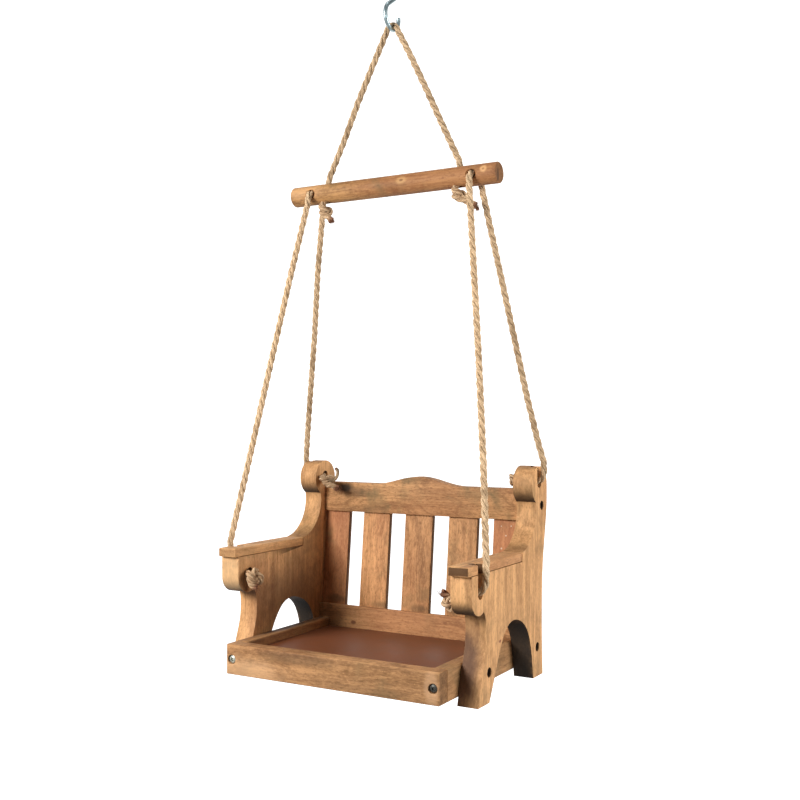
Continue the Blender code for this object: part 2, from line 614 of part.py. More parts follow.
def build_spreader(owner):
    """The bar, the sling ropes' turns through it and the hanger rope's knotted ends."""
    half = BAR_LENGTH / 2
    profile = [(-half, BAR_R - BAR_CHAMFER), (-half + BAR_CHAMFER, BAR_R), (half - BAR_CHAMFER, BAR_R),
               (half, BAR_R - BAR_CHAMFER)]
    bar = mesh_object("spreader_bar", turned(profile, 32, (0, HANG_Y, BAR_Z), (1, 0, 0)), owner, "bar_wood", 40)
    hole_r = ROPE_R + ROPE_FIT
    for side, tag in ((-1, "left"), (1, "right")):
        span = [(-BAR_R - 5 * MM, hole_r), (BAR_R + 5 * MM, hole_r)]
        upright = turned(span, 16, (side * HANGER_X, HANG_Y, BAR_Z), (0, 0, 1))
        level = turned(span, 16, (side * SLING_X, HANG_Y, BAR_Z), (0, 1, 0))
        cut(bar, cutter("cut_hanger_hole_" + tag, upright, owner))
        cut(bar, cutter("cut_sling_hole_" + tag, level, owner))

        reach = BAR_R - 1 * MM
        rope_tube("sling_loop_" + tag, straight((side * SLING_X, HANG_Y - reach, BAR_Z),
                                                (side * SLING_X, HANG_Y + reach, BAR_Z), 3), owner,
                  round_start=False, round_end=False)

        knot_z = BAR_Z - BAR_R - FIT - KNOT_R * 0.78
        stub = straight((side * HANGER_X, HANG_Y, BAR_Z + BAR_R - 0.5 * MM), (side * HANGER_X, HANG_Y, knot_z), 3)
        knot_at = Vector((side * HANGER_X, HANG_Y, knot_z))
        tail = [knot_at, knot_at + Vector((6, 0, -5)) * MM,
                knot_at + Vector((11, 2, -10)).normalized() * (KNOT_R + TAIL_LENGTH * 0.7)]
        knotted_end("hanger_knot_" + tag, stub, knot_at, tail, owner, (0.95, 0.85, 0.72))


def build_hook(owner):
    """The S-hook: two bends joined by a straight that touches both."""
    lean = math.degrees(math.asin(2 * HOOK_BEND_R / HOOK_CENTRES))
    tip = math.degrees(HOOK_TIP)
    low = arc((HANG_Y, HOOK_LOW_Z), HOOK_BEND_R, tip, -180 - lean, 22)
    high = arc((HANG_Y, HOOK_LOW_Z + HOOK_CENTRES), HOOK_BEND_R, -lean, 180 + tip, 22)
    curve = bpy.data.curves.new("s_hook", "CURVE")
    curve.dimensions = "3D"
    curve.bevel_depth = HOOK_WIRE_R
    curve.bevel_resolution = 4
    curve.use_fill_caps = True
    curve.resolution_u = 1
    spline = curve.splines.new("POLY")
    spline.points.add(len(low) + len(high) - 1)
    for point, spot in zip(spline.points, low + high):
        point.co = (0, spot.x, spot.y, 1)
    place(bpy.data.objects.new("s_hook", curve), owner, "zinc")


def build():
    clear_scene()
    build_hook(body("hook", ORIGIN))
    build_bight(body("bight", (0, HANG_Y, HOOK_BOTTOM_Z)))
    build_hanger(body("hanger", (0, HANG_Y, hanger_tops()[0].z)))
    build_spreader(body("spreader", (0, HANG_Y, BAR_Z + BAR_R + PIVOT_ABOVE)))
    for side, tag in ((-1, "left"), (1, "right")):
        build_sling(body("sling_" + tag, (side * SLING_X, HANG_Y, BAR_Z)), side, tag)
    build_seat(body("seat", (-ARM_PIVOT.x, ARM_PIVOT.y, ARM_PIVOT.z)))


build()
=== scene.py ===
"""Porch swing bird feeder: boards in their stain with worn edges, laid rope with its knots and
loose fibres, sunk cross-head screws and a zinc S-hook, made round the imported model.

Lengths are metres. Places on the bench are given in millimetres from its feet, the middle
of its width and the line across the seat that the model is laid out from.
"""
import json
import math
import random

import bmesh
import bpy
from mathutils import Matrix, Vector

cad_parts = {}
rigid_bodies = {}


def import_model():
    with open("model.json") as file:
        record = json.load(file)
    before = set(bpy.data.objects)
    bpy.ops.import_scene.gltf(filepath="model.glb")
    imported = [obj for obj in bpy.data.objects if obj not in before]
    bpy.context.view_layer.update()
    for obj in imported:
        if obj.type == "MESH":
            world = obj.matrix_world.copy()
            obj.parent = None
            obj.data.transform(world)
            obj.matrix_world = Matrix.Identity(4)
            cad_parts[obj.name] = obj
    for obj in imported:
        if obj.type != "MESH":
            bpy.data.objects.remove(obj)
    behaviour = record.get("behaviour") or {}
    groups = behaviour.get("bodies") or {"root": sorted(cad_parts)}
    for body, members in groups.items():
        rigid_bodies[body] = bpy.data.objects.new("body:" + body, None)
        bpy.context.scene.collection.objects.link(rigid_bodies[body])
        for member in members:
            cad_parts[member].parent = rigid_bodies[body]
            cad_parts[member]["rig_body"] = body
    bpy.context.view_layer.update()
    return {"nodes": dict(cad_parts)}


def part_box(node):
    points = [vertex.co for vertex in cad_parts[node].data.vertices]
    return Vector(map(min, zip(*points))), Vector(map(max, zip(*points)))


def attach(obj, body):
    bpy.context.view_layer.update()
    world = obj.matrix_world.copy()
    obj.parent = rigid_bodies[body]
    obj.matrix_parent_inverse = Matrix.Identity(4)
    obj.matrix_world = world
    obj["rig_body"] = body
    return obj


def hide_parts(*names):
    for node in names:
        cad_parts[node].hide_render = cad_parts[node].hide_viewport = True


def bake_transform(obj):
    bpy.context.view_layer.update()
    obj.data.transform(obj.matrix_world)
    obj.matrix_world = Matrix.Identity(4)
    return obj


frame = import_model()

bl_info = {
    "name": "Porch Swing Bird Feeder",
    "version": (1, 0, 0),
    "blender": (4, 5, 0),
    "location": "3D View > Sidebar > Swing",
    "description": "Finishes the boards, ropes and fittings of a hanging bird feeder",
    "category": "Add Mesh",
}

MM = 0.001
TRAY_FRONT_Y = -78.3 * MM      # the tray's front face from the bench's own line
STEP = 0.8 * MM                # how closely ropes and wire are divided along their run
FIBRES = 24000.0               # loose fibres on a square metre of strand
BEVEL_TURN = math.radians(28)  # edges of the boards that turn further are worn round
SLAT_LEAN = math.radians(5.8)
SLAT_T = 5.5 * MM
BOARD_SHARP = 34               # degrees; edges of the boards that turn further stay sharp
VIEW_TURN = math.radians(29.88)  # how far the camera stands round from straight in front

SIDES = ((-1, "left"), (1, "right"))
# millimetres on the bench: the bar's holes along and across it, and where the slings leave arm and ear
HANGER_X, SLING_X, BAR_Y = 71, 86, 31
ARM_EXIT = (131.5, -43, 119.3)
EAR_EXIT = (131.5, 80.3, 194.1)


def bench(x, y, z):
    """A place on the bench in millimetres, as a point in the model's frame."""
    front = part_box("tray_front_board")[0].y
    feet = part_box("side_panel_left")[0].z
    return Vector((x * MM, front - TRAY_FRONT_Y + y * MM, feet + z * MM))


def box_of(node):
    """A node's low corner, middle and high corner."""
    low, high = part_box(node)
    return low, (low + high) / 2, high


def srgb(red, green, blue):
    """A colour given as 0 to 255 on screen, as linear light."""
    def linear(value):
        value /= 255
        return value / 12.92 if value <= 0.04045 else ((value + 0.055) / 1.055) ** 2.4
    return (linear(red), linear(green), linear(blue))


def scaled(colour, share):
    return tuple(c * share for c in colour)


def colour_property(name, description, default):
    return bpy.props.FloatVectorProperty(name=name, description=description, default=default,
                                         subtype="COLOR", min=0.0, max=1.0)


def length_property(name, description, default):
    return bpy.props.FloatProperty(name=name, description=description, default=default,
                                   min=0.0, precision=5, subtype="DISTANCE", unit="LENGTH")


# ---- what a user may change --------------------------------------------------
class SwingWood(bpy.types.PropertyGroup):
    panel: colour_property("Panels", "Stain on the side panels and armrests", srgb(190, 141, 92))
    board: colour_property("Boards", "Stain on the rails and the tray", srgb(167, 121, 77))
    slat: colour_property("Slats", "Stain on the back slats", srgb(170, 122, 78))
    bar: colour_property("Bar", "Stain on the spreader bar", srgb(157, 114, 69))
    floor: colour_property("Floor", "Face of the tray's floor panel", srgb(110, 60, 29))
    patch: colour_property("Patches", "Greyed patches in the stain", srgb(112, 92, 58))
    red: colour_property("Heartwood", "Redder wood in some boards", srgb(150, 84, 52))
    worn_edge: length_property("Worn edge", "How far the boards' edges are rounded", 0.8 * MM)


class SwingRope(bpy.types.PropertyGroup):
    diameter: length_property("Diameter", "Across the three strands", 6 * MM)
    lay: length_property("Lay", "Length in which a strand goes once round", 27 * MM)
    fibre_length: length_property("Loose fibres", "Length of the fibres that stand off", 1.9 * MM)
    straw: colour_property("Straw", "Bleached fibres", srgb(207, 177, 141))
    brown: colour_property("Brown", "Darker fibres and the grooves", srgb(112, 86, 58))


class SwingMetal(bpy.types.PropertyGroup):
    zinc: colour_property("Zinc", "The hook's plating", srgb(176, 196, 200))
    screw: colour_property("Screws", "Blackened screw heads", srgb(40, 38, 36))
    bright: colour_property("Bright steel", "Worn screw heads and nails", srgb(214, 216, 200))


# ---- node trees --------------------------------------------------------------
def arithmetic(operation, swapped=False):
    """A method that adds one Math node to its term's tree."""
    def method(self, other):
        pair = (other, self) if swapped else (self, other)
        return self.graph.math(operation, *pair)
    return method


class Term:
    """A socket; arithmetic on it adds Math nodes to its tree."""
    __add__ = arithmetic("ADD")
    __radd__ = arithmetic("ADD", True)
    __sub__ = arithmetic("SUBTRACT")
    __rsub__ = arithmetic("SUBTRACT", True)
    __mul__ = arithmetic("MULTIPLY")
    __truediv__ = arithmetic("DIVIDE")
    __pow__ = arithmetic("POWER")

    def __init__(self, graph, socket):
        self.graph = graph
        self.socket = socket

    def __abs__(self):
        return self.graph.math("ABSOLUTE", self)

    def other(self, name):
        """Another output of the same node."""
        return Term(self.graph, self.socket.node.outputs[name])


class Graph:
    """Adds nodes to one tree, shader or geometry."""

    def __init__(self, tree):
        self.tree = tree

    def node(self, kind, settings=None, inputs=None, output=0):
        made = self.tree.nodes.new(kind)
        for key, value in (settings or {}).items():
            setattr(made, key, value)
        for key, value in (inputs or {}).items():
            if isinstance(value, Term):
                self.tree.links.new(value.socket, made.inputs[key])
            else:
                made.inputs[key].default_value = value
        return Term(self, made.outputs[output])

    def math(self, operation, first, second=None):
        inputs = {0: first} if second is None else {0: first, 1: second}
        return self.node("ShaderNodeMath", {"operation": operation}, inputs)

    def vector(self, operation, first, second=None, scale=None, output=0):
        inputs = {0: first}
        if second is not None:
            inputs[1] = second
        if scale is not None:
            inputs[3] = scale
        return self.node("ShaderNodeVectorMath", {"operation": operation}, inputs, output)

    def split(self, vector):
        parts = self.node("ShaderNodeSeparateXYZ", inputs={0: vector})
        return parts, parts.other("Y"), parts.other("Z")

    def join(self, x, y, z):
        return self.node("ShaderNodeCombineXYZ", inputs={0: x, 1: y, 2: z})

    def step(self, value, low, high, start=0.0, end=1.0):
        """A smooth step of value from low to high."""
        return self.node("ShaderNodeMapRange", {"interpolation_type": "SMOOTHSTEP"},
                         {0: value, 1: low, 2: high, 3: start, 4: end})

    def noise(self, place, scale, detail=2.0, roughness=0.5, distortion=0.0):
        return self.node("ShaderNodeTexNoise", {}, {"Vector": place, "Scale": scale, "Detail": detail,
                                                    "Roughness": roughness, "Distortion": distortion})

    def blend(self, factor, first, second):
        """Two colours mixed."""
        first, second = ((*c, 1) if isinstance(c, tuple) and len(c) == 3 else c for c in (first, second))
        return self.node("ShaderNodeMix", {"data_type": "RGBA"}, {0: factor, 6: first, 7: second}, 2)


class Shading(Graph):
    """A material's tree, with what its finishes read."""

    def place(self):
        return self.node("ShaderNodeTexCoord", output="Object")

    def carried(self, label, output="Fac"):
        """An attribute of the mesh."""
        return self.node("ShaderNodeAttribute", {"attribute_name": label}, output=output)

    def bumped(self, height, strength, distance):
        return self.node("ShaderNodeBump", {},
                         {"Height": height, "Strength": strength, "Distance": distance})


def colour_of(value):
    return tuple(value)[:3]


def new_material(name):
    material = bpy.data.materials.new(name)
    material.use_nodes = True
    shader = material.node_tree.nodes["Principled BSDF"]
    return material, Shading(material.node_tree), shader


def connect(graph, shader, **terms):
    """Links terms to the shader's sockets; an underscore stands for a space in their names."""
    for name, term in terms.items():
        graph.tree.links.new(term.socket, shader.inputs[name.replace("_", " ")])


# ---- finishes ----------------------------------------------------------------
def spot(centre, reach, tint, strength, crisp=0.0):
    """A stain, knot or fleck, or a patch of painted shade or painted light: its half sizes in millimetres,
    colour, strength and how crisp its edge is.
    """
    return centre, [half * MM for half in reach], tint, strength, crisp


def spotted(graph, colour, place, spots, wobble):
    """The colour with its spots laid over it, one after another."""
    for centre, reach, tint, strength, crisp in spots:
        away = graph.vector("SUBTRACT", place, tuple(centre))
        away = graph.vector("DIVIDE", away, tuple(reach))
        far = graph.vector("LENGTH", away, output=1)
        far = far + wobble * (0.9 - 0.8 * crisp)
        mask = graph.step(far, 0.3 + 0.6 * crisp, 1.25 - 0.2 * crisp, strength, 0.0)
        colour = graph.blend(mask, colour, tint)
    return colour


def wood(name, tone, along, seed, spots=(), rims=(), patches=0.5, wave=1.0, ends=0.5, under=0.0,
         dark_sides=0.0, contrast=1.0, pieces=False):
    """Sawn softwood in its stain, with its grain along one axis of the model.

    spots colour every face they reach and rims only the faces across X; some of their marks are painted
    shade and painted light. wave bends the grain, contrast deepens it, ends darkens the end grain, under
    paints shade on what faces down and dark_sides paints shade on the faces towards X.
    With pieces the mesh carries cut, redness and shade attributes that set its boards apart.
    """
    settings = bpy.context.scene.swing_wood
    material, g, shader = new_material(name)
    draw = random.Random(seed)
    place = g.place()
    facing = g.node("ShaderNodeTexCoord", output="Normal")
    x, y, z = g.split(place)
    nx, ny, nz = g.split(facing)
    first, second, length, end_face = {"X": (y, z, x, nx), "Y": (x, z, y, ny), "Z": (x, y, z, nz)}[along]
    side_one = first + draw.uniform(-0.9, 0.9)
    side_two = second + draw.uniform(-0.9, 0.9)
    run = length + draw.uniform(-0.9, 0.9)
    if pieces:
        board, red, shade = (g.carried(label) for label in ("cut", "redness", "shade"))
        side_one = side_one + board * 0.37
        run = run + board * 0.83

    def grain(stretch, *look):
        return g.noise(g.join(side_one, side_two, run * stretch), *look)

    # the tree's rings, cut at a slant and bent along the board
    drift = grain(0.35, 17, 2) - 0.5
    waver = grain(0.15, 75, 2) - 0.5
    from_pith = g.math("SQRT", (side_one * 0.5 + draw.uniform(-0.1, 0.1)) ** 2 + (side_two * 0.8) ** 2)
    figure = from_pith + drift * (0.03 * wave) + waver * 0.006
    rings = g.noise(g.join(figure, 0.0, run * 0.012), 430, 2, 0.55)
    broad = g.noise(g.join(figure, 0.4, run * 0.02), 120, 2, 0.5)

    fibre = grain(0.035, 800, 3, 0.65)
    streak = grain(0.06, 210, 3, 0.6)
    pores = g.step(grain(0.09, 1500, 1), 0.66, 0.74)
    patch = g.noise(place, 21, 4, 0.62, 0.6)
    speck = g.noise(place, 95, 3, 0.6)
    cloud = grain(0.5, 58, 4, 0.65, 0.8)
    grit = grain(0.4, 560, 3, 0.75)
    warm = grain(0.4, 14, 2)

    base = colour_of(tone)
    light = tuple(min(1.0, c * k) for c, k in zip(base, (1.5, 1.56, 1.62)))
    deep = tuple(c * k for c, k in zip(base, (0.5, 0.45, 0.38)))
    colour = g.blend(g.step(streak, 0.3, 0.7), light, base)
    for source, start, full, strength, tint in (
            (rings, 0.48, 0.7, 0.4, deep), (broad, 0.5, 0.7, 0.35, deep), (cloud, 0.48, 0.72, 0.5, deep),
            (cloud, 0.46, 0.25, 0.5, light), (grit, 0.5, 0.7, 0.5, deep), (grit, 0.48, 0.32, 0.45, light),
            (fibre, 0.45, 0.8, 0.4, deep)):
        colour = g.blend(g.step(source, start, full) * (strength * contrast), colour, tint)
    colour = g.blend(g.step(warm, 0.45, 0.75) * 0.35, colour, colour_of(settings.red))
    if pieces:
        colour = g.blend(red, colour, colour_of(settings.red))
    grey = colour_of(settings.patch)
    colour = g.blend(g.step(patch + speck * 0.35, 0.66, 0.95) * patches, colour, grey)
    darker = g.step(patch + speck * 0.3, 0.82, 1.02) * patches * 0.8
    colour = g.blend(darker, colour, scaled(grey, 0.4))
    colour = g.blend(pores * 0.5, colour, scaled(base, 0.3))
    if pieces:
        colour = g.vector("SCALE", colour, scale=shade)
    # painted shade: faces that turn down are darkened almost to black
    if under:
        colour = g.blend(g.step(nz, 0.05, -0.85) * under, colour, scaled(base, 0.05))
    colour = spotted(g, colour, place, spots, speck - 0.5)
    # rims lay stain, painted shade and painted light on the faces across X
    if rims:
        rim_stain_and_shading = spotted(g, colour, place, rims, speck - 0.5)
        colour = g.blend(g.step(abs(nx), 0.75, 0.5), colour, rim_stain_and_shading)

    end_grain = g.step(abs(end_face), 0.75, 0.95)
    colour = g.blend(end_grain * ends, colour, tuple(c * k for c, k in zip(base, (0.17, 0.13, 0.06))))
    # painted shade: faces towards X, such as the slats' sides in the gaps between them, are darkened
    if dark_sides:
        colour = g.blend(g.step(abs(nx), 0.8, 0.98) * dark_sides, colour, scaled(base, 0.12))
    # rounded edges rubbed lighter in patches: worn stain, with a painted highlight where they catch the
    # light
    worn = g.carried("worn")
    colour = g.blend(worn * g.step(speck, 0.35, 0.7) * 0.35, colour, light)

    height = fibre * 0.5 + rings * 0.4 + streak * 0.3 - pores * 0.5 - end_grain * speck * 0.5
    connect(g, shader, Base_Color=colour, Roughness=0.56 + fibre * 0.28,
            Normal=g.bumped(height, 0.5, 0.0006))
    shader.inputs["Specular IOR Level"].default_value = 0.35
    return material


def floor_finish():
    """Smooth reddish-brown hardboard with a faint mottle."""
    material, g, shader = new_material("tray floor face")
    settings = bpy.context.scene.swing_wood
    place = g.place()
    cloud = g.noise(place, 26, 4, 0.6)
    grit = g.noise(place, 900, 2, 0.6)
    base = colour_of(settings.floor)
    colour = g.blend(g.step(cloud, 0.3, 0.7), scaled(base, 0.86), scaled(base, 1.12))
    colour = g.blend(g.step(grit, 0.6, 0.8) * 0.25, colour, scaled(base, 0.6))
    connect(g, shader, Base_Color=colour, Roughness=0.42 + cloud * 0.2,
            Normal=g.bumped(grit + cloud, 0.15, 0.0003))
    return material


def rope_finish(name, knot_shade):
    """Natural fibre: pale and brown threads that follow the strand, with painted shade in the grooves."""
    material, g, shader = new_material(name)
    settings = bpy.context.scene.swing_rope
    threads = g.carried("threads", "Vector")
    out = g.carried("out")
    fray = g.carried("fray")
    place = g.place()
    around, across, run = g.split(threads)
    fine = g.noise(g.join(around, across, run * 0.09), 3600, 3, 0.7)
    coarse = g.noise(g.join(around, across, run * 0.14), 1250, 2, 0.6)
    stretch = g.noise(place, 60, 3, 0.65)
    straw, brown = colour_of(settings.straw), colour_of(settings.brown)
    pale = tuple(min(1.0, c * 1.2) for c in straw)
    middle = tuple(0.5 * a + 0.5 * b for a, b in zip(straw, brown))
    colour = g.blend(g.step(coarse, 0.4, 0.6), middle, straw)
    colour = g.blend(g.step(fine, 0.48, 0.66) * 0.8, colour, pale)
    colour = g.blend(g.step(fine, 0.5, 0.36) * 0.85, colour, brown)
    colour = g.blend(g.step(stretch, 0.5, 0.68) * 0.5, colour, brown)
    # painted shade: darker deep in the grooves between the strands
    colour = g.blend(g.step(out, 0.82, 0.56) * 0.8, colour, scaled(brown, 0.4))
    # painted shade: brown patches darken the knots' rope, standing for the shade in their crevices
    colour = g.blend(g.step(coarse, 0.7, 0.35) * knot_shade, colour, srgb(122, 84, 54))
    colour = g.blend(g.step(fray, 0.1, 0.7) * 0.8, colour, srgb(104, 62, 44))
    # painted light: rope in front of the bar is made lighter and rope above the bar darker, as the lamps
    # fall on them
    _, y, z = g.split(place)
    low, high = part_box("spreader_bar")
    painted_light = g.step(y, high.y, low.y - 20 * MM) * 0.22 - g.step(z, high.z, high.z + 30 * MM) * 0.08
    colour = g.vector("SCALE", colour, scale=painted_light + 1.02)
    connect(g, shader, Base_Color=colour, Normal=g.bumped(fine + coarse * 0.6, 0.7, 0.0003))
    shader.inputs["Roughness"].default_value = 0.88
    shader.inputs["Specular IOR Level"].default_value = 0.2
    return material


def zinc_finish():
    """Zinc plating: a cool grey with faint cloudy wear."""
    material, g, shader = new_material("zinc plating")
    place = g.place()
    cloud = g.noise(place, 260, 3, 0.6)
    fine = g.noise(place, 2600, 2, 0.6)
    base = colour_of(bpy.context.scene.swing_metal.zinc)
    colour = g.blend(g.step(cloud, 0.35, 0.7), scaled(base, 0.72), base)
    connect(g, shader, Base_Color=colour, Roughness=0.3 + cloud * 0.12 + fine * 0.04)
    shader.inputs["Metallic"].default_value = 0.85
    return material


def screw_finish():
    """Blackened steel, rubbed bright where the head's polish attribute says so."""
    material, g, shader = new_material("screw steel")
    settings = bpy.context.scene.swing_metal
    place = g.place()
    polish = g.carried("polish")
    grime = g.noise(place, 1300, 3, 0.65)
    rust = g.step(g.noise(place, 700, 2, 0.6), 0.55, 0.75)
    rubbed = g.step(grime, 0.3, 0.6) * polish
    colour = g.blend(rubbed, colour_of(settings.screw), colour_of(settings.bright))
    colour = g.blend(rust * (1 - polish) * 0.35, colour, srgb(92, 62, 40))
    connect(g, shader, Base_Color=colour, Roughness=0.5 - rubbed * 0.1 + rust * 0.2,
            Metallic=0.75 - rubbed * 0.3)
    return material


# ---- meshes ------------------------------------------------------------------
def link(obj):
    bpy.context.scene.collection.objects.link(obj)
    return obj


def built(bm, name, material=None):
    """The bmesh as a new object; the bmesh is used up."""
    mesh = bpy.data.meshes.new(name)
    bm.to_mesh(mesh)
    bm.free()
    if material:
        mesh.materials.append(material)
    return link(bpy.data.objects.new(name, mesh))


def smooth(piece, sharp):
    """Smooth shading, but for edges that turn by more than sharp degrees."""
    piece.data.shade_smooth()
    piece.data.set_sharp_from_angle(angle=math.radians(sharp))


def rounded(bm, offset, segments=3, **settings):
    """Bevels the edges that turn by more than a few degrees; the new faces carry the worn attribute."""
    worn = bm.faces.layers.float.new("worn")
    edges = [e for e in bm.edges if len(e.link_faces) == 2 and e.calc_face_angle(0) > BEVEL_TURN]
    made = bmesh.ops.bevel(bm, geom=edges, offset=offset, segments=segments, profile=0.5, affect="EDGES",
                           **settings)
    for face in made["faces"]:
        face[worn] = 1.0


def stand_for(piece, body, slot, *nodes):
    """The piece rides on a body and stands for these nodes; the slot is not used."""
    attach(piece, body)
    finish_of(piece, slot, *nodes)


def finish_of(piece, slot, *nodes):
    if nodes:
        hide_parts(*nodes)


def worn_board(node, material, slot, edge=None, segments=3):
    """A copy of a node with its sharp edges rounded."""
    edge = bpy.context.scene.swing_wood.worn_edge if edge is None else edge
    bm = bmesh.new()
    bm.from_mesh(frame["nodes"][node].data)
    bmesh.ops.remove_doubles(bm, verts=bm.verts, dist=0.002 * MM)
    bmesh.ops.dissolve_degenerate(bm, edges=bm.edges, dist=0.004 * MM)
    bmesh.ops.dissolve_limit(bm, angle_limit=math.radians(0.8), verts=bm.verts, edges=bm.edges)
    rounded(bm, edge, segments, offset_type="OFFSET", clamp_overlap=True, miter_outer="ARC")
    bmesh.ops.triangulate(bm, faces=bm.faces)
    piece = built(bm, node + "_finished", material)
    smooth(piece, BOARD_SHARP)
    stand_for(piece, frame["nodes"][node]["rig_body"], slot, node)


def round_z(radius, height, k, sides):
    """Corner k of a ring of sides corners round Z."""
    angle = 2 * math.pi * k / sides
    return (radius * math.cos(angle), radius * math.sin(angle), height)


def turned_mesh(profile, sides):
    """Turns (radius, height) pairs about Z; a zero radius closes on the axis."""
    bm = bmesh.new()
    rings = []
    for radius, height in profile:
        if radius < 1e-7:
            rings.append([bm.verts.new((0, 0, height))] * sides)
            continue
        rings.append([bm.verts.new(round_z(radius, height, k, sides)) for k in range(sides)])
    for low, high in zip(rings, rings[1:]):
        for k in range(sides):
            corners = []
            for vert in (low[k], low[(k + 1) % sides], high[(k + 1) % sides], high[k]):
                if vert not in corners:
                    corners.append(vert)
            if len(corners) > 2:
                bm.faces.new(corners)
    return bm


def cut_away(piece, cutters):
    """Cuts each cutter out of the piece and applies the result."""
    for number, bm in enumerate(cutters):
        bmesh.ops.recalc_face_normals(bm, faces=bm.faces)
        tool = built(bm, f"cutter_{number}")
        modifier = piece.modifiers.new("cut", "BOOLEAN")
        modifier.solver = "EXACT"
        modifier.object = tool
        settle(piece)
        bpy.data.objects.remove(tool, do_unlink=True)


def settle(piece):
    """Replaces a piece's mesh with its evaluated one and drops its modifiers."""
    graph = bpy.context.evaluated_depsgraph_get()
    graph.update()
    made = bpy.data.meshes.new_from_object(piece.evaluated_get(graph), preserve_all_data_layers=True,
                                           depsgraph=graph)
    piece.modifiers.clear()
    piece.data = made


# ---- geometry trees ----------------------------------------------------------
class Tree(Graph):
    """A geometry tree with named inputs; end() closes it with its material."""

    def __init__(self, name, inputs):
        super().__init__(bpy.data.node_groups.new(name, "GeometryNodeTree"))
        self.tree.is_modifier = True
        self.tree.interface.new_socket("Geometry", in_out="INPUT", socket_type="NodeSocketGeometry")
        for label, kind in inputs:
            self.tree.interface.new_socket(label, in_out="INPUT", socket_type="NodeSocket" + kind)
        self.tree.interface.new_socket("Material", in_out="INPUT", socket_type="NodeSocketMaterial")
        self.tree.interface.new_socket("Geometry", in_out="OUTPUT", socket_type="NodeSocketGeometry")
        self.inputs = self.tree.nodes.new("NodeGroupInput")

    def given(self, label):
        return Term(self, self.inputs.outputs[label])

    def attribute(self, name, kind="FLOAT"):
        return self.node("GeometryNodeInputNamedAttribute", {"data_type": kind}, {"Name": name})

    def store(self, geometry, name, value, kind="FLOAT"):
        return self.node("GeometryNodeStoreNamedAttribute", {"data_type": kind},
                         {"Geometry": geometry, "Name": name, "Value": value})

    def heading(self, name):
        return self.attribute(name, "FLOAT_VECTOR")

    def moved(self, geometry, offset):
        return self.node("GeometryNodeSetPosition", {}, {"Geometry": geometry, "Offset": offset})

    def girthed(self, curve, radius):
        return self.node("GeometryNodeSetCurveRadius", {}, {"Curve": curve, "Radius": radius})

    def ring(self, corners, radius):
        return self.node("GeometryNodeCurvePrimitiveCircle", {}, {"Resolution": corners, "Radius": radius},
                         "Curve")

    def tube(self, curve, ring, caps=True):
        return self.node("GeometryNodeCurveToMesh", {},
                         {"Curve": curve, "Profile Curve": ring, "Fill Caps": caps})

    def smoothed(self, geometry):
        return self.node("GeometryNodeSetShadeSmooth", {}, {"Geometry": geometry})

    def upright(self, direction):
        """The rotation that stands Z along a direction."""
        return self.node("FunctionNodeAlignRotationToVector", {"axis": "Z"}, {"Vector": direction})

    def copies(self, points, shape, rotation, scale=(1, 1, 1)):
        return self.node("GeometryNodeInstanceOnPoints", {}, {"Points": points, "Instance": shape,
                                                              "Rotation": rotation, "Scale": scale})

    def points_and_shape(self, label):
        """The host mesh as loose points, and the shape of the object given under a label."""
        points = self.node("GeometryNodeMeshToPoints", {}, {"Mesh": self.given("Geometry")})
        return points, self.node("GeometryNodeObjectInfo", {"transform_space": "ORIGINAL"},
                                 {"Object": self.given(label)}, "Geometry")

    def end(self, geometry):
        real = self.node("GeometryNodeRealizeInstances", {}, {"Geometry": geometry})
        dressed = self.node("GeometryNodeSetMaterial", {},
                            {"Geometry": real, "Material": self.given("Material")})
        out = self.tree.nodes.new("NodeGroupOutput")
        self.tree.links.new(dressed.socket, out.inputs[0])
        return self.tree


def grown(name, host, tree, values):
    """Runs a geometry tree on a host mesh and returns the plain mesh as a new object."""
    holder = link(bpy.data.objects.new(name, host))
    modifier = holder.modifiers.new("made", "NODES")
    modifier.node_group = tree
    for item in tree.interface.items_tree:
        if item.item_type == "SOCKET" and item.in_out == "INPUT" and item.name in values:
            modifier[item.identifier] = values[item.name]
    settle(holder)
    return holder


def spread(name, pattern, host, tree, values, slot, nodes):
    """One piece on the seat, made of a copy of the pattern on each point of the host."""
    piece = grown(name, host, tree, values)
    bpy.data.objects.remove(pattern, do_unlink=True)
    stand_for(piece, "seat", slot, *nodes)


def path_mesh(points, along, sides, girth, fray):
    """A line of points that carries what the rope tree reads."""
    mesh = bpy.data.meshes.new("path")
    mesh.from_pydata([tuple(p) for p in points], [(i, i + 1) for i in range(len(points) - 1)], [])
    for label, values in (("along", along), ("girth", girth), ("fray", fray)):
        mesh.attributes.new(label, "FLOAT", "POINT").data.foreach_set("value", values)
    side = mesh.attributes.new("side", "FLOAT_VECTOR", "POINT")
    side.data.foreach_set("vector", [c for s in sides for c in s])
    return mesh


def point_mesh(points, **attributes):
    """Loose points that carry attributes, floats or vectors."""
    mesh = bpy.data.meshes.new("points")
    mesh.from_pydata([tuple(p) for p in points], [], [])
    for label, values in attributes.items():
        if isinstance(values[0], (int, float)):
            mesh.attributes.new(label, "FLOAT", "POINT").data.foreach_set("value", values)
        else:
            flat = [c for v in values for c in v]
            mesh.attributes.new(label, "FLOAT_VECTOR", "POINT").data.foreach_set("vector", flat)
    return mesh


def fibre_shape(t):
    """One loose fibre, a thin curved hair that stands on its root."""
    curve = t.node("GeometryNodeCurvePrimitiveBezierSegment", {},
                   {"Resolution": 4, "Start": (0, 0, 0), "Start Handle": (0, 0, 0.35),
                    "End Handle": (0.25, 0.1, 0.75), "End": (0.6, 0.0, 0.95)})
    share = t.node("GeometryNodeSplineParameter", output="Factor")
    return t.tube(t.girthed(curve, 1.0 - share * 0.85), t.ring(3, 0.022), False)


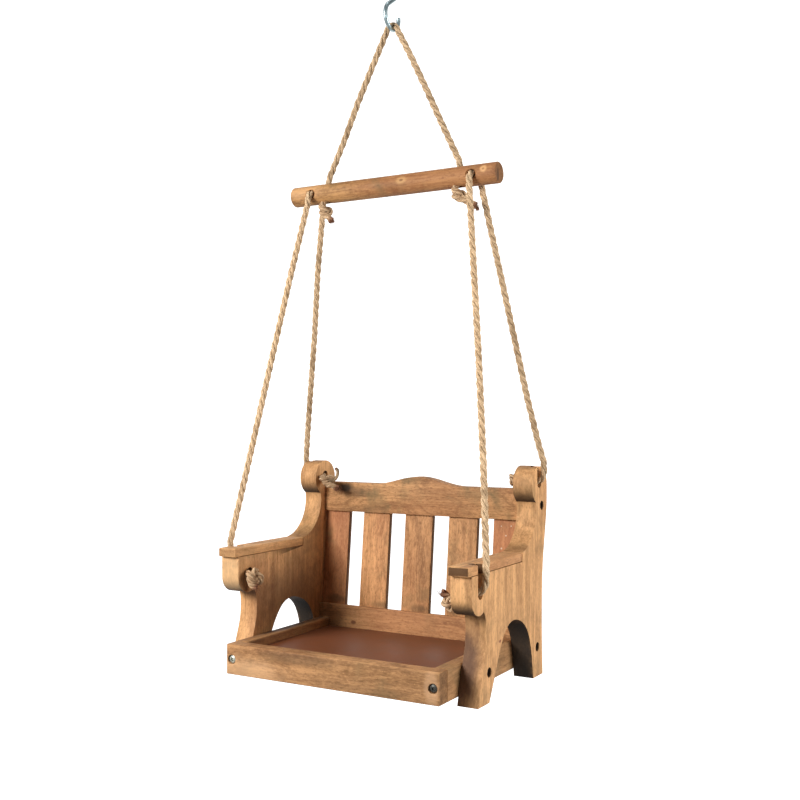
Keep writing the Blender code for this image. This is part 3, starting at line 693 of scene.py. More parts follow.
def rope_tree():
    """Three strands laid left-handed round a path, each of seven yarns, with loose fibres."""
    t = Tree("Laid rope", (("Radius", "Float"), ("Lay", "Float"), ("Strands", "Int"), ("Step", "Float"),
                           ("Fibres", "Float"), ("Fibre Length", "Float"), ("Seed", "Int")))
    radius = t.given("Radius")
    path = t.node("GeometryNodeMeshToCurve", {}, {"Mesh": t.given("Geometry")})
    path = t.node("GeometryNodeResampleCurve", {"mode": "LENGTH"},
                  {"Curve": path, "Length": t.given("Step")})
    run = t.node("GeometryNodeInputTangent")
    path = t.store(path, "run", run, "FLOAT_VECTOR")
    path = t.store(path, "centre", t.node("GeometryNodeInputPosition"), "FLOAT_VECTOR")
    copies = t.node("GeometryNodeDuplicateElements", {"domain": "SPLINE"},
                    {"Geometry": path, "Amount": t.given("Strands")})
    number = copies.other("Duplicate Index")
    strands = t.store(copies, "strand", number + 0.0)

    along = t.attribute("along")
    side = t.heading("side")
    up = t.vector("CROSS_PRODUCT", t.heading("run"), side)
    angle = number * (2 * math.pi) / t.given("Strands") - along * (2 * math.pi) / t.given("Lay")
    girth = t.attribute("girth") * (1.0 + t.attribute("fray") * 0.9)
    out = radius * 0.5 * girth
    offset = t.vector("ADD", t.vector("SCALE", side, scale=t.math("COSINE", angle) * out),
                      t.vector("SCALE", up, scale=t.math("SINE", angle) * out))
    strands = t.moved(strands, offset)
    thin = t.attribute("girth") * (1.0 - t.attribute("fray") * 0.6)
    strands = t.girthed(strands, thin)

    turn = t.node("GeometryNodeSplineParameter", output="Factor") * (2 * math.pi)
    ring = t.store(t.ring(14, radius * 0.53), "turn", turn)
    rope = t.tube(strands, ring)

    yarn = t.attribute("turn") + t.attribute("along") * (2 * math.pi) / (t.given("Lay") * 0.8)
    shift = t.attribute("strand") * 0.31
    threads = t.join(t.math("COSINE", yarn) * radius * 0.5, t.math("SINE", yarn) * radius * 0.5,
                     t.attribute("along") + shift)
    rope = t.store(rope, "threads", threads, "FLOAT_VECTOR")
    here = t.node("GeometryNodeInputPosition")
    away = t.vector("LENGTH", t.vector("SUBTRACT", here, t.heading("centre")), output=1)
    rope = t.store(rope, "out", away / radius)
    lump = t.noise(t.heading("threads"), 420, 2, 0.5) - 0.5
    ripple = t.math("SINE", yarn * 7) * 0.028 + lump * 0.22
    swell = t.vector("SCALE", t.node("GeometryNodeInputNormal"), scale=ripple * radius)
    rope = t.smoothed(t.moved(rope, swell))

    # loose fibres, thicker on the ground where the end frays
    density = t.given("Fibres") * (1.0 + t.attribute("fray") * 9.0)
    roots = t.node("GeometryNodeDistributePointsOnFaces", {"distribute_method": "RANDOM"},
                   {"Mesh": rope, "Density": density, "Seed": t.given("Seed")})
    spray = t.node("FunctionNodeRandomValue", {"data_type": "FLOAT_VECTOR"},
                   {0: (-1.0, -1.0, -1.0), 1: (1.0, 1.0, 1.0), "Seed": t.given("Seed")})
    lift = t.vector("SCALE", roots.other("Normal"), scale=0.75 - t.attribute("fray") * 0.35)
    scatter = t.vector("SCALE", spray, scale=0.75)
    lean = t.vector("ADD", t.vector("ADD", t.heading("run"), lift), scatter)
    size = t.node("FunctionNodeRandomValue", {"data_type": "FLOAT"}, {2: 0.45, 3: 1.25, "Seed": 7}, 1)
    long = t.given("Fibre Length") * (1.0 + t.attribute("fray") * 1.4) * size
    hairs = t.copies(roots, fibre_shape(t), t.upright(lean), t.join(long, long, long))
    both = t.node("GeometryNodeJoinGeometry")
    t.tree.links.new(rope.socket, both.socket.node.inputs[0])
    t.tree.links.new(hairs.socket, both.socket.node.inputs[0])
    return t.end(both)


def fastener_tree():
    """Puts one fastener on each point, its head towards the axis attribute."""
    t = Tree("Fasteners", (("Fastener", "Object"),))
    points, shape = t.points_and_shape("Fastener")
    roll = t.node("FunctionNodeAxisAngleToRotation", {}, {"Axis": (0, 0, 1), "Angle": t.attribute("roll")})
    turned = t.node("FunctionNodeRotateRotation", {"rotation_space": "LOCAL"},
                    {"Rotation": t.upright(t.heading("axis")), "Rotate By": roll})
    return t.end(t.copies(points, shape, turned))


def slat_tree():
    """Puts one slat on each point, as wide as its width attribute says."""
    t = Tree("Slat row", (("Slat", "Object"), ("Slat Width", "Float"), ("Lean", "Float")))
    points, shape = t.points_and_shape("Slat")
    scale = t.join(t.attribute("width") / t.given("Slat Width"), 1.0, 1.0)
    lean = t.join(0.0 - t.given("Lean"), 0.0, 0.0)
    return t.end(t.copies(points, shape, lean, scale))


def wire_tree():
    """A round wire along a path, drawn in at its ends by the girth attribute."""
    t = Tree("Bent wire", (("Radius", "Float"),))
    path = t.node("GeometryNodeMeshToCurve", {}, {"Mesh": t.given("Geometry")})
    wire = t.tube(t.girthed(path, t.attribute("girth")), t.ring(28, t.given("Radius")))
    return t.end(t.smoothed(wire))


# ---- rope routes -------------------------------------------------------------
def evenly(points, gap):
    """The same line with points every gap."""
    line = [points[0]]
    for a, b in zip(points, points[1:]):
        pieces = max(1, round((b - a).length / gap))
        line += [a.lerp(b, k / pieces) for k in range(1, pieces + 1)]
    return line


def softened(points, rounds):
    """The line with its corners eased; its ends stay."""
    for _ in range(rounds):
        inner = [(a + b * 2 + c) / 4 for a, b, c in zip(points, points[1:], points[2:])]
        points = [points[0], *inner, points[-1]]
    return points


class Route:
    """A rope's whole way, from which pieces are cut with their strands still matching."""

    def __init__(self, knots, rounds=14, start=0.0):
        self.points = softened(evenly([Vector(k) for k in knots], 1 * MM), rounds)
        self.along = [start]
        for a, b in zip(self.points, self.points[1:]):
            self.along.append(self.along[-1] + (b - a).length)
        self.sides = []
        side = (self.points[1] - self.points[0]).orthogonal().normalized()
        for i in range(len(self.points)):
            ahead = self.points[min(i + 1, len(self.points) - 1)]
            run = (ahead - self.points[max(i - 1, 0)]).normalized()
            side = (side - run * side.dot(run)).normalized()
            self.sides.append(side.copy())

    def nearest(self, place):
        return min(range(len(self.points)), key=lambda i: (self.points[i] - place).length)

    def piece(self, name, material, first=0, last=None, girth=None, fray=None, fibres=1.0, seed=1,
              strands=3):
        """Rope from point first to point last; returns the object and the line that it follows."""
        last = len(self.points) - 1 if last is None else last
        chosen = range(first, last + 1)
        count = len(chosen)
        settings = bpy.context.scene.swing_rope
        line, along, sides = ([values[i] for i in chosen]
                              for values in (self.points, self.along, self.sides))
        girths = [girth(k, count) if girth else 1.0 for k in range(count)]
        frays = [fray(k, count) if fray else 0.0 for k in range(count)]
        host = path_mesh(line, along, sides, girths, frays)
        tree = bpy.data.node_groups.get("Laid rope") or rope_tree()
        made = grown(name, host, tree, {"Radius": settings.diameter / 2, "Lay": settings.lay,
                                        "Strands": strands, "Step": STEP, "Fibres": FIBRES * fibres,
                                        "Fibre Length": settings.fibre_length, "Seed": seed,
                                        "Material": material})
        return made, line


def rope_material(name="laid rope", knot_shade=0.0):
    return bpy.data.materials.get(name) or rope_finish(name, knot_shade)


def sling_route(side):
    """From the arm's hole up to the bar, through it and down to the ear's hole."""
    slack = 1.0 if side > 0 else 0.0     # the right sling hangs a little inside the straight line
    arm = [(109, -45, 92.2), (116, -44, 92.2), (123, -44, 92.4), (128.6, -44, 94.2), (131.2, -43.8, 98.5),
           (131.5, -43.4, 106), ARM_EXIT]
    front = [(121.0 + slack, -28.1, 196), (109.2 + slack, -12.1, 282), (97.0 + slack / 2, 3.6, 368),
             (86.2, 18.0, 441.5)]
    turn = [(86, 18.6, 449.5), (86, 22, 451.6), (86, 31, 451.8), (86, 40, 451.6), (86, 43.4, 449.5)]
    back = [(86.2, 44.2, 442), (98.6 - slack * 1.7, 53.0, 380), (109.6 - slack * 2, 63.2, 316),
            (120.6 - slack * 2, 71.2, 254), (128.6 - slack * 1.4, 77.6, 211)]
    ear = [EAR_EXIT, (131.5, 80.3, 184.5), (129.4, 80.3, 178.2), (122, 80.3, 175.6),
           (116, 80.2, 175.5), (109, 79.3, 175.5)]
    return Route([bench(side * x, y, z) for x, y, z in arm + front + turn + back + ear])


def knotted_route(start, centre, out, flat, tail, size):
    """A rope end that goes from start into an overhand knot about centre and leaves by its tail.

    The knot lies across flat and its tail leaves along out; tail lists the steps after that.
    """
    lengthwise = Vector(out).normalized()
    upward = Vector(flat)
    upward = (upward - lengthwise * upward.dot(lengthwise)).normalized()
    across = upward.cross(lengthwise)
    turned = Matrix((lengthwise, across, upward)).transposed()

    def place(x, y, z):
        return centre + turned @ (Vector((x, y, z * 1.3)) * size)

    gap, count = 0.5, 44
    points = [Vector(start), place(-2.4, -2.2, 1.1)]
    for k in range(count + 1):
        t = math.pi + gap + (2 * math.pi - 2 * gap) * k / count
        points.append(place(math.sin(t) + 2 * math.sin(2 * t), math.cos(t) - 2 * math.cos(2 * t),
                            -math.sin(3 * t)))
    points.append(place(1.8, -2.4, -1.1))
    for step in tail:
        points.append(points[-1] + Vector(step) * MM)
    return Route(points, 7, start=0.4)


def tail_girth(k, count):
    """A little tighter in the knot, then thinning over the last few millimetres."""
    return 0.9 - 0.2 * max(0.0, 1 - (count - 1 - k) / 6)


def knot_piece(name, body, node, seed, start, centre, out, flat, tail, size, brush=5):
    """A knotted rope end whose last brush millimetres are frayed; its places are on the bench."""
    route = knotted_route(bench(*start), bench(*centre), out, flat, tail, size)
    # the knots' rope takes painted shade for the crevices between its loops
    piece, _ = route.piece(name, rope_material("knotted rope", 0.6), girth=tail_girth, fibres=1.1,
                           fray=lambda k, n: max(0.0, 1 - (n - 1 - k) / brush) ** 1.4, seed=seed)
    stand_for(piece, body, "jute_rope", node)
    return piece


# ---- pieces ------------------------------------------------------------------
class SWING_OT_stage(bpy.types.Operator):
    """Pale floor and backdrop, soft lights and the camera"""
    bl_idname = "swing.stage"
    bl_label = "Stage, lights and camera"

    def execute(self, context):
        scene = context.scene
        scene.view_settings.view_transform = "Standard"
        world = bpy.data.worlds.new("soft room")
        world.use_nodes = True
        background = world.node_tree.nodes["Background"]
        background.inputs["Color"].default_value = (1, 1, 1, 1)
        background.inputs["Strength"].default_value = 0.09
        scene.world = world

        # a sweep of pale paper: the floor runs back under the feeder and curves up behind it
        behind = Vector((-math.sin(VIEW_TURN), math.cos(VIEW_TURN), 0))
        across = Vector((math.cos(VIEW_TURN), math.sin(VIEW_TURN), 0))
        material, g, shader = new_material("pale paper")
        place = g.place()
        far = g.vector("DOT_PRODUCT", place, tuple(behind), output=1)
        glow = g.step(far, 0.45, 1.3)
        connect(g, shader, Emission_Color=g.join(glow, glow, glow))
        shader.inputs["Base Color"].default_value = (0.55, 0.55, 0.55, 1)
        shader.inputs["Roughness"].default_value = 0.9
        shader.inputs["Emission Strength"].default_value = 1.05
        floor_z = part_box("side_panel_left")[0].z - 0.55
        bend, wall = 0.9, 2.6
        line = [(-2.2, floor_z), (-1.0, floor_z), (0.4, floor_z), (wall - bend, floor_z)]
        line += [(wall - bend + bend * math.sin(a), floor_z + bend * (1 - math.cos(a)))
                 for a in (math.pi / 2 * k / 12 for k in range(1, 13))]
        line += [(wall, 1.2), (wall, 2.4)]
        bm = bmesh.new()
        edges = [[bm.verts.new(behind * v + across * u + Vector((0, 0, z))) for v, z in line]
                 for u in (-2.2, 2.2)]
        for k in range(len(line) - 1):
            bm.faces.new((edges[0][k], edges[1][k], edges[1][k + 1], edges[0][k + 1]))
        sweep = built(bm, "paper_sweep", material)
        sweep.data.shade_smooth()

        middle = Vector((0, 0, -0.4))
        for name, place, size, power in (("left_softbox", (-0.5, -1.18, 0.02), 0.6, 26.5),
                                         ("right_softbox", (1.75, 0.3, -0.22), 0.8, 30),
                                         ("top_softbox", (0.1, 0.2, 1.6), 0.8, 9)):
            light = bpy.data.lights.new(name, "AREA")
            light.shape = "DISK"
            light.size = size
            light.energy = power
            lamp = link(bpy.data.objects.new(name, light))
            lamp.location = place
            lamp.rotation_euler = (middle - Vector(place)).to_track_quat("-Z", "Y").to_euler()

        camera = bpy.data.cameras.new("camera")
        camera.lens = 47.28
        camera.sensor_width = 36.0
        camera.shift_y = 0.0156
        camera.clip_start = 0.05
        eye = link(bpy.data.objects.new("camera", camera))
        eye.location = bench(494.54, -814.75, 237.38)
        eye.rotation_euler = (math.radians(90.13), 0, VIEW_TURN)
        scene.camera = eye
        return {"FINISHED"}


def taut_cord(line, mouth):
    """Adds up the length of the leg's line; the mouth is not used."""
    long = sum((b - a).length for a, b in zip(line, line[1:]))


class SWING_OT_slings(bpy.types.Operator):
    """The two rope slings, from the arms through the bar to the ears"""
    bl_idname = "swing.slings"
    bl_label = "Rope slings"

    def execute(self, context):
        rope = rope_material()
        for side, tag in SIDES:
            route = sling_route(side)
            body = "sling_" + tag
            last = len(route.points) - 1
            front_top = route.nearest(bench(side * 87.5, 16.2, 437))
            back_top = route.nearest(bench(side * 87.6, 45.2, 437))
            turn, _ = route.piece("sling_turn_" + tag, rope, front_top, back_top, seed=3)
            bench(side * SLING_X, BAR_Y, 448)
            bench(side * SLING_X, BAR_Y, 439)
            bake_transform(turn)
            finish_of(turn, "jute_rope", "sling_loop_" + tag)
            bar_mouth = bench(side * SLING_X, BAR_Y, 451)
            for place, first, end, (x, y, z), knot in (
                    ("front", 0, front_top, ARM_EXIT, self.front_knot(side, tag)),
                    ("back", back_top, last, EAR_EXIT, self.back_knot(side, tag))):
                name = f"sling_rope_{place}_{tag}"
                pivot = bench(side * x, y, z)
                if side < 0:
                    leg, line = route.piece(name + "_laid", rope, first, end, seed=11)
                    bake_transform(leg)
                    finish_of(leg, "jute_rope", name)
                else:
                    leg, line, foot = self.split_leg(route, name, rope, first, end, pivot, place)
                    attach(leg, body)
                    finish_of(leg, "jute_rope", name)
                    stand_for(foot, "seat", "jute_rope")
                taut_cord(line, bar_mouth)
        self.curl()
        return {"FINISHED"}

    def split_leg(self, route, name, rope, first, end, pivot, place):
        """On the right no joint joins sling and seat, so the leg ends over a narrower foot."""
        at = route.nearest(pivot)
        lap = 3
        if place == "front":
            leg, line = route.piece(name + "_laid", rope, at - lap, end, seed=11)
            foot, _ = route.piece(name + "_foot", rope, first, at + lap, seed=12,
                                  girth=lambda k, n: 1.0 if n - 1 - k > 2 * lap else 0.86)
        else:
            leg, line = route.piece(name + "_laid", rope, first, at + lap, seed=11)
            foot, _ = route.piece(name + "_foot", rope, at - lap, end, seed=12,
                                  girth=lambda k, n: 1.0 if k > 2 * lap else 0.86)
        return leg, line, foot

    def front_knot(self, side, tag):
        start = (side * 110.5, -44.6, 92.2)
        node = "sling_end_front_" + tag
        if side < 0:
            return knot_piece("arm_knot_left", "seat", node, 21, start, (-99.4, -47.2, 88.8),
                              (0.35, 0.25, -0.9), (0.9, -0.4, 0.1), [(2.2, 1.2, -1.6), (2.6, 1.6, -1.2)],
                              2.3 * MM)
        return knot_piece("arm_knot_right", "seat", node, 22, start, (100.6, -47, 83),
                          (-0.75, -0.35, 0.55), (0.5, -0.7, 0.2), [(-2.8, -1.6, 2.0), (-2.6, -1.6, 1.6)],
                          1.7 * MM, 9)

    def back_knot(self, side, tag):
        node = "sling_end_back_" + tag
        if side < 0:
            return knot_piece("ear_knot_left", "seat", node, 23, (-110.5, 79.6, 175.5), (-97, 68.4, 171.6),
                              (1, -0.15, -0.12), (0.1, -0.45, 0.9),
                              [(4.2, -0.5, -0.4), (4.4, -0.4, -1.2), (3.8, 0, -1.8)], 1.75 * MM)
        return knot_piece("ear_knot_right", "seat", node, 24, (110.5, 80.3, 175.5), (102.4, 80.8, 177.8),
                          (0.05, 1, 0.15), (1, 0, 0.1), [(-0.8, 3, 0.5), (-0.5, 3, -0.5)], 1.7 * MM)

    def curl(self):
        """One strand that has come loose from the left ear's knot and stands up."""
        places = ((-96, 67, 171), (-91, 65.5, 172), (-86, 65, 173.6), (-82.6, 65, 177), (-81.6, 65, 181),
                  (-82.4, 65, 184), (-84.4, 65, 184.6))
        route = Route([bench(*p) for p in places], 4)
        strand, _ = route.piece("loose_strand", rope_material(), seed=25, strands=1, fibres=0.6,
                                girth=lambda k, n: 0.52, fray=lambda k, n: 0.75 if k > n - 4 else 0.0)
        stand_for(strand, "seat", "jute_rope")


class SWING_OT_hanger(bpy.types.Operator):
    """The hanger rope over the hook, with its knots under the bar"""
    bl_idname = "swing.hanger"
    bl_label = "Hanger rope"

    def execute(self, context):
        rope = rope_material()
        left = [(-71, 31, 446), (-71, 31, 460), (-70.6, 31, 464.5), (-53.2, 31.4, 500), (-36.8, 30.7, 535),
                (-20.4, 31.2, 568), (-7.2, 31, 593)]
        over = [(-4.6, 31, 598.4), (-3.0, 31, 600.8), (0, 31, 601.7), (3.0, 31, 600.8), (4.6, 31, 598.4)]
        right = [(-x, y, z) for x, y, z in reversed(left)]
        route = Route([bench(*p) for p in left + over + right], 8)
        cut_left = route.nearest(bench(-9.6, 31, 589))
        cut_right = route.nearest(bench(9.6, 31, 589))
        bend, _ = route.piece("hanger_bend", rope, cut_left, cut_right, seed=31,
                              girth=lambda k, n: 1 - 0.2 * math.sin(math.pi * k / (n - 1)) ** 2)
        bench(0, 31, 599)
        bench(0, 31, 592)
        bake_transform(bend)
        finish_of(bend, "jute_rope", "hanger_bight")
        last = len(route.points) - 1
        tails = {"left": [(3.0, -0.4, -1.8), (3.6, -0.8, -2.6), (3.2, -0.6, -2.6)],
                 "right": [(5.4, 0.2, -2.0), (6.2, 0.2, -2.8), (5.4, 0.2, -2.8)]}
        for side, tag in SIDES:
            first, end = (0, cut_left) if side < 0 else (cut_right, last)
            leg, line = route.piece(f"hanger_rope_{tag}_laid", rope, first, end, seed=32)
            bench(side * HANGER_X, BAR_Y, 472)
            bench(side * HANGER_X, BAR_Y, 461)
            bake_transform(leg)
            finish_of(leg, "jute_rope", "hanger_rope_" + tag)
            centre = (-74.6, 30.6, 434.8) if side < 0 else (69, 31, 436)
            knot = knot_piece("bar_knot_" + tag, "spreader", "hanger_knot_" + tag, 33 + side,
                              (side * HANGER_X, BAR_Y, 447), centre, (0.9, 0.1, -0.45), (0.35, -0.2, 0.9),
                              tails[tag], 1.85 * MM)
            taut_cord(line, bench(side * 7, BAR_Y, 598))
        places = ((75, 30, 434), (80, 29.6, 429), (86, 30, 423.4), (88.6, 30, 420.6))
        stub = Route([bench(*p) for p in places], 4)
        strand, _ = stub.piece("bar_knot_strand", rope, seed=36, strands=1, fibres=0.8,
                               girth=lambda k, n: 0.8, fray=lambda k, n: 0.6 if k > n - 4 else 0.0)
        stand_for(strand, "spreader", "jute_rope")
        return {"FINISHED"}


class SWING_OT_side_panels(bpy.types.Operator):
    """The two scrolled side panels"""
    bl_idname = "swing.side_panels"
    bl_label = "Side panels"

    def execute(self, context):
        tone = context.scene.swing_wood.panel
        # painted shade: a dark brown for the knots' shadows and a near black for holes, counterbores and
        # the arch
        shade, deep_shade = srgb(52, 36, 20), srgb(24, 18, 12)
        for side, tag in SIDES:
            # painted shadow of the arm's knot on the panel's inner face
            spots = [spot(bench(side * 107, -51, 84), (4, 11, 14), shade, 0.5)]
            # painted shade in the holes where the slings pass
            for y, z in ((-44, 100), (80.3, 184)):
                spots.append(spot(bench(side * 122.5, y, z), (8, 4.4, 13), deep_shade, 0.85, 1))
            # painted shade in the screws' counterbores
            for y, z in ((86.1, 154.5), (75.3, 26.7), (-27.4, 25.1)):
                spots.append(spot(bench(side * 124.4, y, z), (4.2, 4.8, 4.8), deep_shade, 0.93, 1))
            # painted shade on the sawn faces inside the arch
            rims = [spot(bench(side * 117, 27, 4), (24, 54, 84), deep_shade, 0.96, 0.7)]
            if side > 0:
                spots.append(spot(bench(127, -6, 47), (4, 2.8, 1.4), srgb(120, 62, 40), 0.8, 0.4))
                # stain and painted shade on the front of the right leg
                rims.append(spot(bench(108, -36, 24), (19, 28, 50), srgb(84, 54, 38), 0.85, 0.2))
            else:
                # painted shade low on the left panel's inner face
                spots.append(spot(bench(-106, 14, 60), (6, 64, 40), srgb(88, 62, 42), 0.6))
                # paler wood and painted light on the front of the left knob
                rims.append(spot(bench(-117, -62, 88), (16, 18, 26), srgb(236, 198, 150), 0.3, 0.2))
            # the panels take painted shade on the faces that turn down
            material = wood("panel wood " + tag, tone, "Z", 40 + side, spots, rims, patches=0.45,
                            under=0.96)
            worn_board("side_panel_" + tag, material, "panel_wood")
        return {"FINISHED"}


class SWING_OT_armrests(bpy.types.Operator):
    """The flat boards on the arms"""
    bl_idname = "swing.armrests"
    bl_label = "Armrests"

    def execute(self, context):
        tone = context.scene.swing_wood.panel
        for side, tag in SIDES:
            crack = srgb(82, 58, 36)
            # painted shade in the slot where the sling passes through the arm
            spots = [spot(bench(side * 122.5, -44, 112), (8, 4.6, 9), srgb(30, 22, 14), 0.8, 1)]
            if side > 0:
                spots += [spot(bench(114, -40, 116), (0.8, 20, 3), crack, 0.6, 0.4),
                         spot(bench(120, -56, 116), (0.6, 10, 3), crack, 0.5, 0.4),
                         spot(bench(106, -66, 110), (11, 3, 7), crack, 0.6)]
            material = wood("armrest wood " + tag, tone, "Y", 52 + side, spots=spots, patches=0.35,
                            ends=0.95 if side > 0 else 0.3)
            worn_board("armrest_" + tag, material, "panel_wood")
        return {"FINISHED"}


class SWING_OT_rails(bpy.types.Operator):
    """The top and the bottom rail of the back"""
    bl_idname = "swing.rails"
    bl_label = "Back rails"

    def execute(self, context):
        tone = context.scene.swing_wood.board
        stain = srgb(58, 44, 30)
        knot = srgb(98, 54, 30)
        top = wood("top rail wood", tone, "X", 61, patches=0.85, wave=2.2, contrast=1.6,
                   spots=[spot(bench(-84, 80, 164), (12, 12, 5), stain, 0.95, 0.1),
                          spot(bench(-70, 80, 160), (20, 12, 6), stain, 0.4),
                          spot(bench(-60, 80, 143), (30, 12, 4), stain, 0.25)])
        bottom = wood("bottom rail wood", tone, "X", 62, patches=0.3, contrast=1.3,
                      spots=[spot(bench(-67, 69, 31), (3.4, 8, 2.0), knot, 0.85, 0.5),
                             spot(bench(36, 69, 40), (2.4, 8, 1.4), knot, 0.4, 0.4)])
        worn_board("top_rail", top, "board_wood")
        worn_board("bottom_rail", bottom, "board_wood")
        return {"FINISHED"}


class SWING_OT_slats(bpy.types.Operator):
    """The five slats of the back, all from one worn slat"""
    bl_idname = "swing.slats"
    bl_label = "Back slats"

    def execute(self, context):
        nodes = [f"slat_{n}" for n in range(1, 6)]
        boxes = [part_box(n) for n in nodes]
        widths = [high.x - low.x for low, high in boxes]
        low, high = boxes[2]
        length = (high.z - low.z - SLAT_T * math.sin(SLAT_LEAN)) / math.cos(SLAT_LEAN)
        width = max(widths)
        bm = bmesh.new()
        bmesh.ops.create_cube(bm, size=1)
        bmesh.ops.scale(bm, vec=(width, SLAT_T, length), verts=bm.verts)
        rounded(bm, context.scene.swing_wood.worn_edge * 0.8)
        pattern = built(bm, "one_slat")
        smooth(pattern, BOARD_SHARP)
        fleck = srgb(206, 186, 160)
        flecks = [spot(bench(x, 79, z), (0.9, 6, 0.9), fleck, 0.9, 0.6)
                  for x, z in ((88, 133.5), (98, 134), (93, 125), (89, 113))]
        flecks += [spot(bench(x, 74, z), (13, 6, 4.5), srgb(70, 56, 32), 0.5)
                   for x, z in ((-36, 50), (4, 50), (44, 51), (-90, 52))]
        # dark_sides paints shade on the slats' sides in the gaps between them
        material = wood("slat wood", context.scene.swing_wood.slat, "Z", 71, spots=flecks, dark_sides=0.75,
                        patches=0.5, contrast=1.35, pieces=True)
        host = point_mesh([(a + b) / 2 for a, b in boxes], width=widths, cut=[0.7, 1.9, 3.1, 4.6, 5.3],
                          redness=[0.35, 0.08, 0.05, 0.0, 0.5], shade=[1.15, 1.2, 1.0, 1.0, 1.12])
        values = {"Slat": pattern, "Slat Width": width, "Lean": SLAT_LEAN, "Material": material}
        spread("back_slats", pattern, host, slat_tree(), values, "slat_wood", nodes)
        return {"FINISHED"}


class SWING_OT_tray(bpy.types.Operator):
    """The tray: front and side boards, floor panel and the cleats under it"""
    bl_idname = "swing.tray"
    bl_label = "Seed tray"

    def execute(self, context):
        tone = context.scene.swing_wood.board
        dark = srgb(70, 50, 32)
        dull = scaled(tone, 0.8)
        front = wood("tray front wood", scaled(tone, 0.92), "X", 81, patches=0.6, wave=2.4, ends=0.45,
                     contrast=1.45,
                     spots=[spot(bench(100, -78, 20), (7, 3, 16), srgb(214, 170, 128), 0.4, 0.3),
                            spot(bench(114, -73, 18), (2, 9, 18), srgb(150, 98, 40), 0.6, 0.5),
                            spot(bench(-30, -78, 28), (44, 6, 6), dark, 0.45),
                            # painted light: lighter over the left half of the front board
                            spot(bench(-86, -78, 12), (44, 6, 13), srgb(220, 176, 132), 0.4),
                            spot(bench(40, -78, 10), (60, 6, 4), dark, 0.3)])
        worn_board("tray_front_board", front, "board_wood")
        for side, tag in SIDES:
            shaded = [spot(bench(-104, 0, 28), (7, 74, 15), srgb(44, 26, 15), 0.8)]
            material = wood("tray side wood " + tag, dull, "Y", 84 + side, shaded, patches=0.5)
            worn_board("tray_side_" + tag, material, "board_wood")
            cleat = wood("cleat wood " + tag, tone, "Y", 90 + side, patches=0.3)
            worn_board("tray_cleat_" + tag, cleat, "board_wood")
        worn_board("tray_floor", floor_finish(), "floor_board", 0.2 * MM, 2)
        return {"FINISHED"}


class SWING_OT_spreader_bar(bpy.types.Operator):
    """The dowel with its four cross holes"""
    bl_idname = "swing.spreader_bar"
    bl_label = "Spreader bar"

    def execute(self, context):
        low, middle, high = box_of("spreader_bar")
        half = (high.x - low.x) / 2
        radius = (high.z - low.z) / 2
        draw = random.Random(5)
        profile = [(0, -half)]
        profile += [(radius * (0.8 + 0.2 * math.sin(a)), -half + radius * 0.16 * (1 - math.cos(a)))
                    for a in (0.2, 0.6, 1.1, 1.57)]
        count = 90
        profile += [(radius, -half + 2 * half * k / count) for k in range(2, count - 1)]
        profile += [(r, -z) for r, z in reversed(profile[:5])]
        bm = turned_mesh(profile, 72)
        for vert in bm.verts:
            flat = 1 + 0.006 * math.sin(3 * math.atan2(vert.co.y, vert.co.x) + vert.co.z * 40)
            vert.co.x *= flat * (1 + draw.uniform(-0.001, 0.001))
            vert.co.y *= flat
        turn = Matrix.Rotation(math.radians(90), 4, "Y")
        bmesh.ops.transform(bm, matrix=Matrix.Translation(middle) @ turn, verts=bm.verts)
        bmesh.ops.recalc_face_normals(bm, faces=bm.faces)

        def at(x, y, z):
            return middle + Vector((x * MM, y * MM, z * MM))

        end_mark = Vector((high.x, middle.y - 4 * MM, middle.z - 3 * MM))
        spots = [spot(at(98, -8, 3), (4, 5, 3.4), srgb(226, 176, 120), 0.7, 0.3),
                 spot(at(98, -9, 3), (1.6, 5, 1.2), srgb(120, 76, 40), 0.6, 0.3),
                 spot(at(4, -9, -2), (24, 6, 4), srgb(104, 70, 38), 0.3),
                 spot(at(15, -9, 2), (6, 5, 4), srgb(206, 160, 104), 0.5, 0.3),
                 spot(at(15, -9, 2), (2.2, 5, 1.3), srgb(104, 68, 36), 0.7, 0.3),
                 # painted light: lighter towards the bar's left end
                 spot(at(-96, -8, 3), (26, 7, 8), srgb(226, 176, 126), 0.35),
                 spot(end_mark, (3, 2, 6), srgb(52, 34, 20), 0.7, 0.4)]
        material = wood("bar wood", context.scene.swing_wood.bar, "X", 107, spots, patches=0.6,
                        contrast=1.5)
        piece = built(bm, "spreader_bar_finished", material)
        hole = context.scene.swing_rope.diameter / 2 + 1 * MM
        rim = 1.5 * MM
        cutters = []
        holes = ((HANGER_X, Matrix.Identity(4)), (SLING_X, Matrix.Rotation(math.radians(90), 4, "X")))
        for side, _ in SIDES:
            for reach, spin in holes:
                shape = turned_mesh([(0, -2 * radius), (hole + 3 * rim, -2 * radius), (hole + rim, -radius),
                                     (hole, -radius + rim), (hole, radius - rim), (hole + rim, radius),
                                     (hole + 3 * rim, 2 * radius), (0, 2 * radius)], 32)
                at = Matrix.Translation(Vector((side * reach * MM, middle.y, middle.z)))
                bmesh.ops.transform(shape, matrix=at @ spin, verts=shape.verts)
                cutters.append(shape)
        cut_away(piece, cutters)
        smooth(piece, 30)
        stand_for(piece, "spreader", "bar_wood", "spreader_bar")
        return {"FINISHED"}


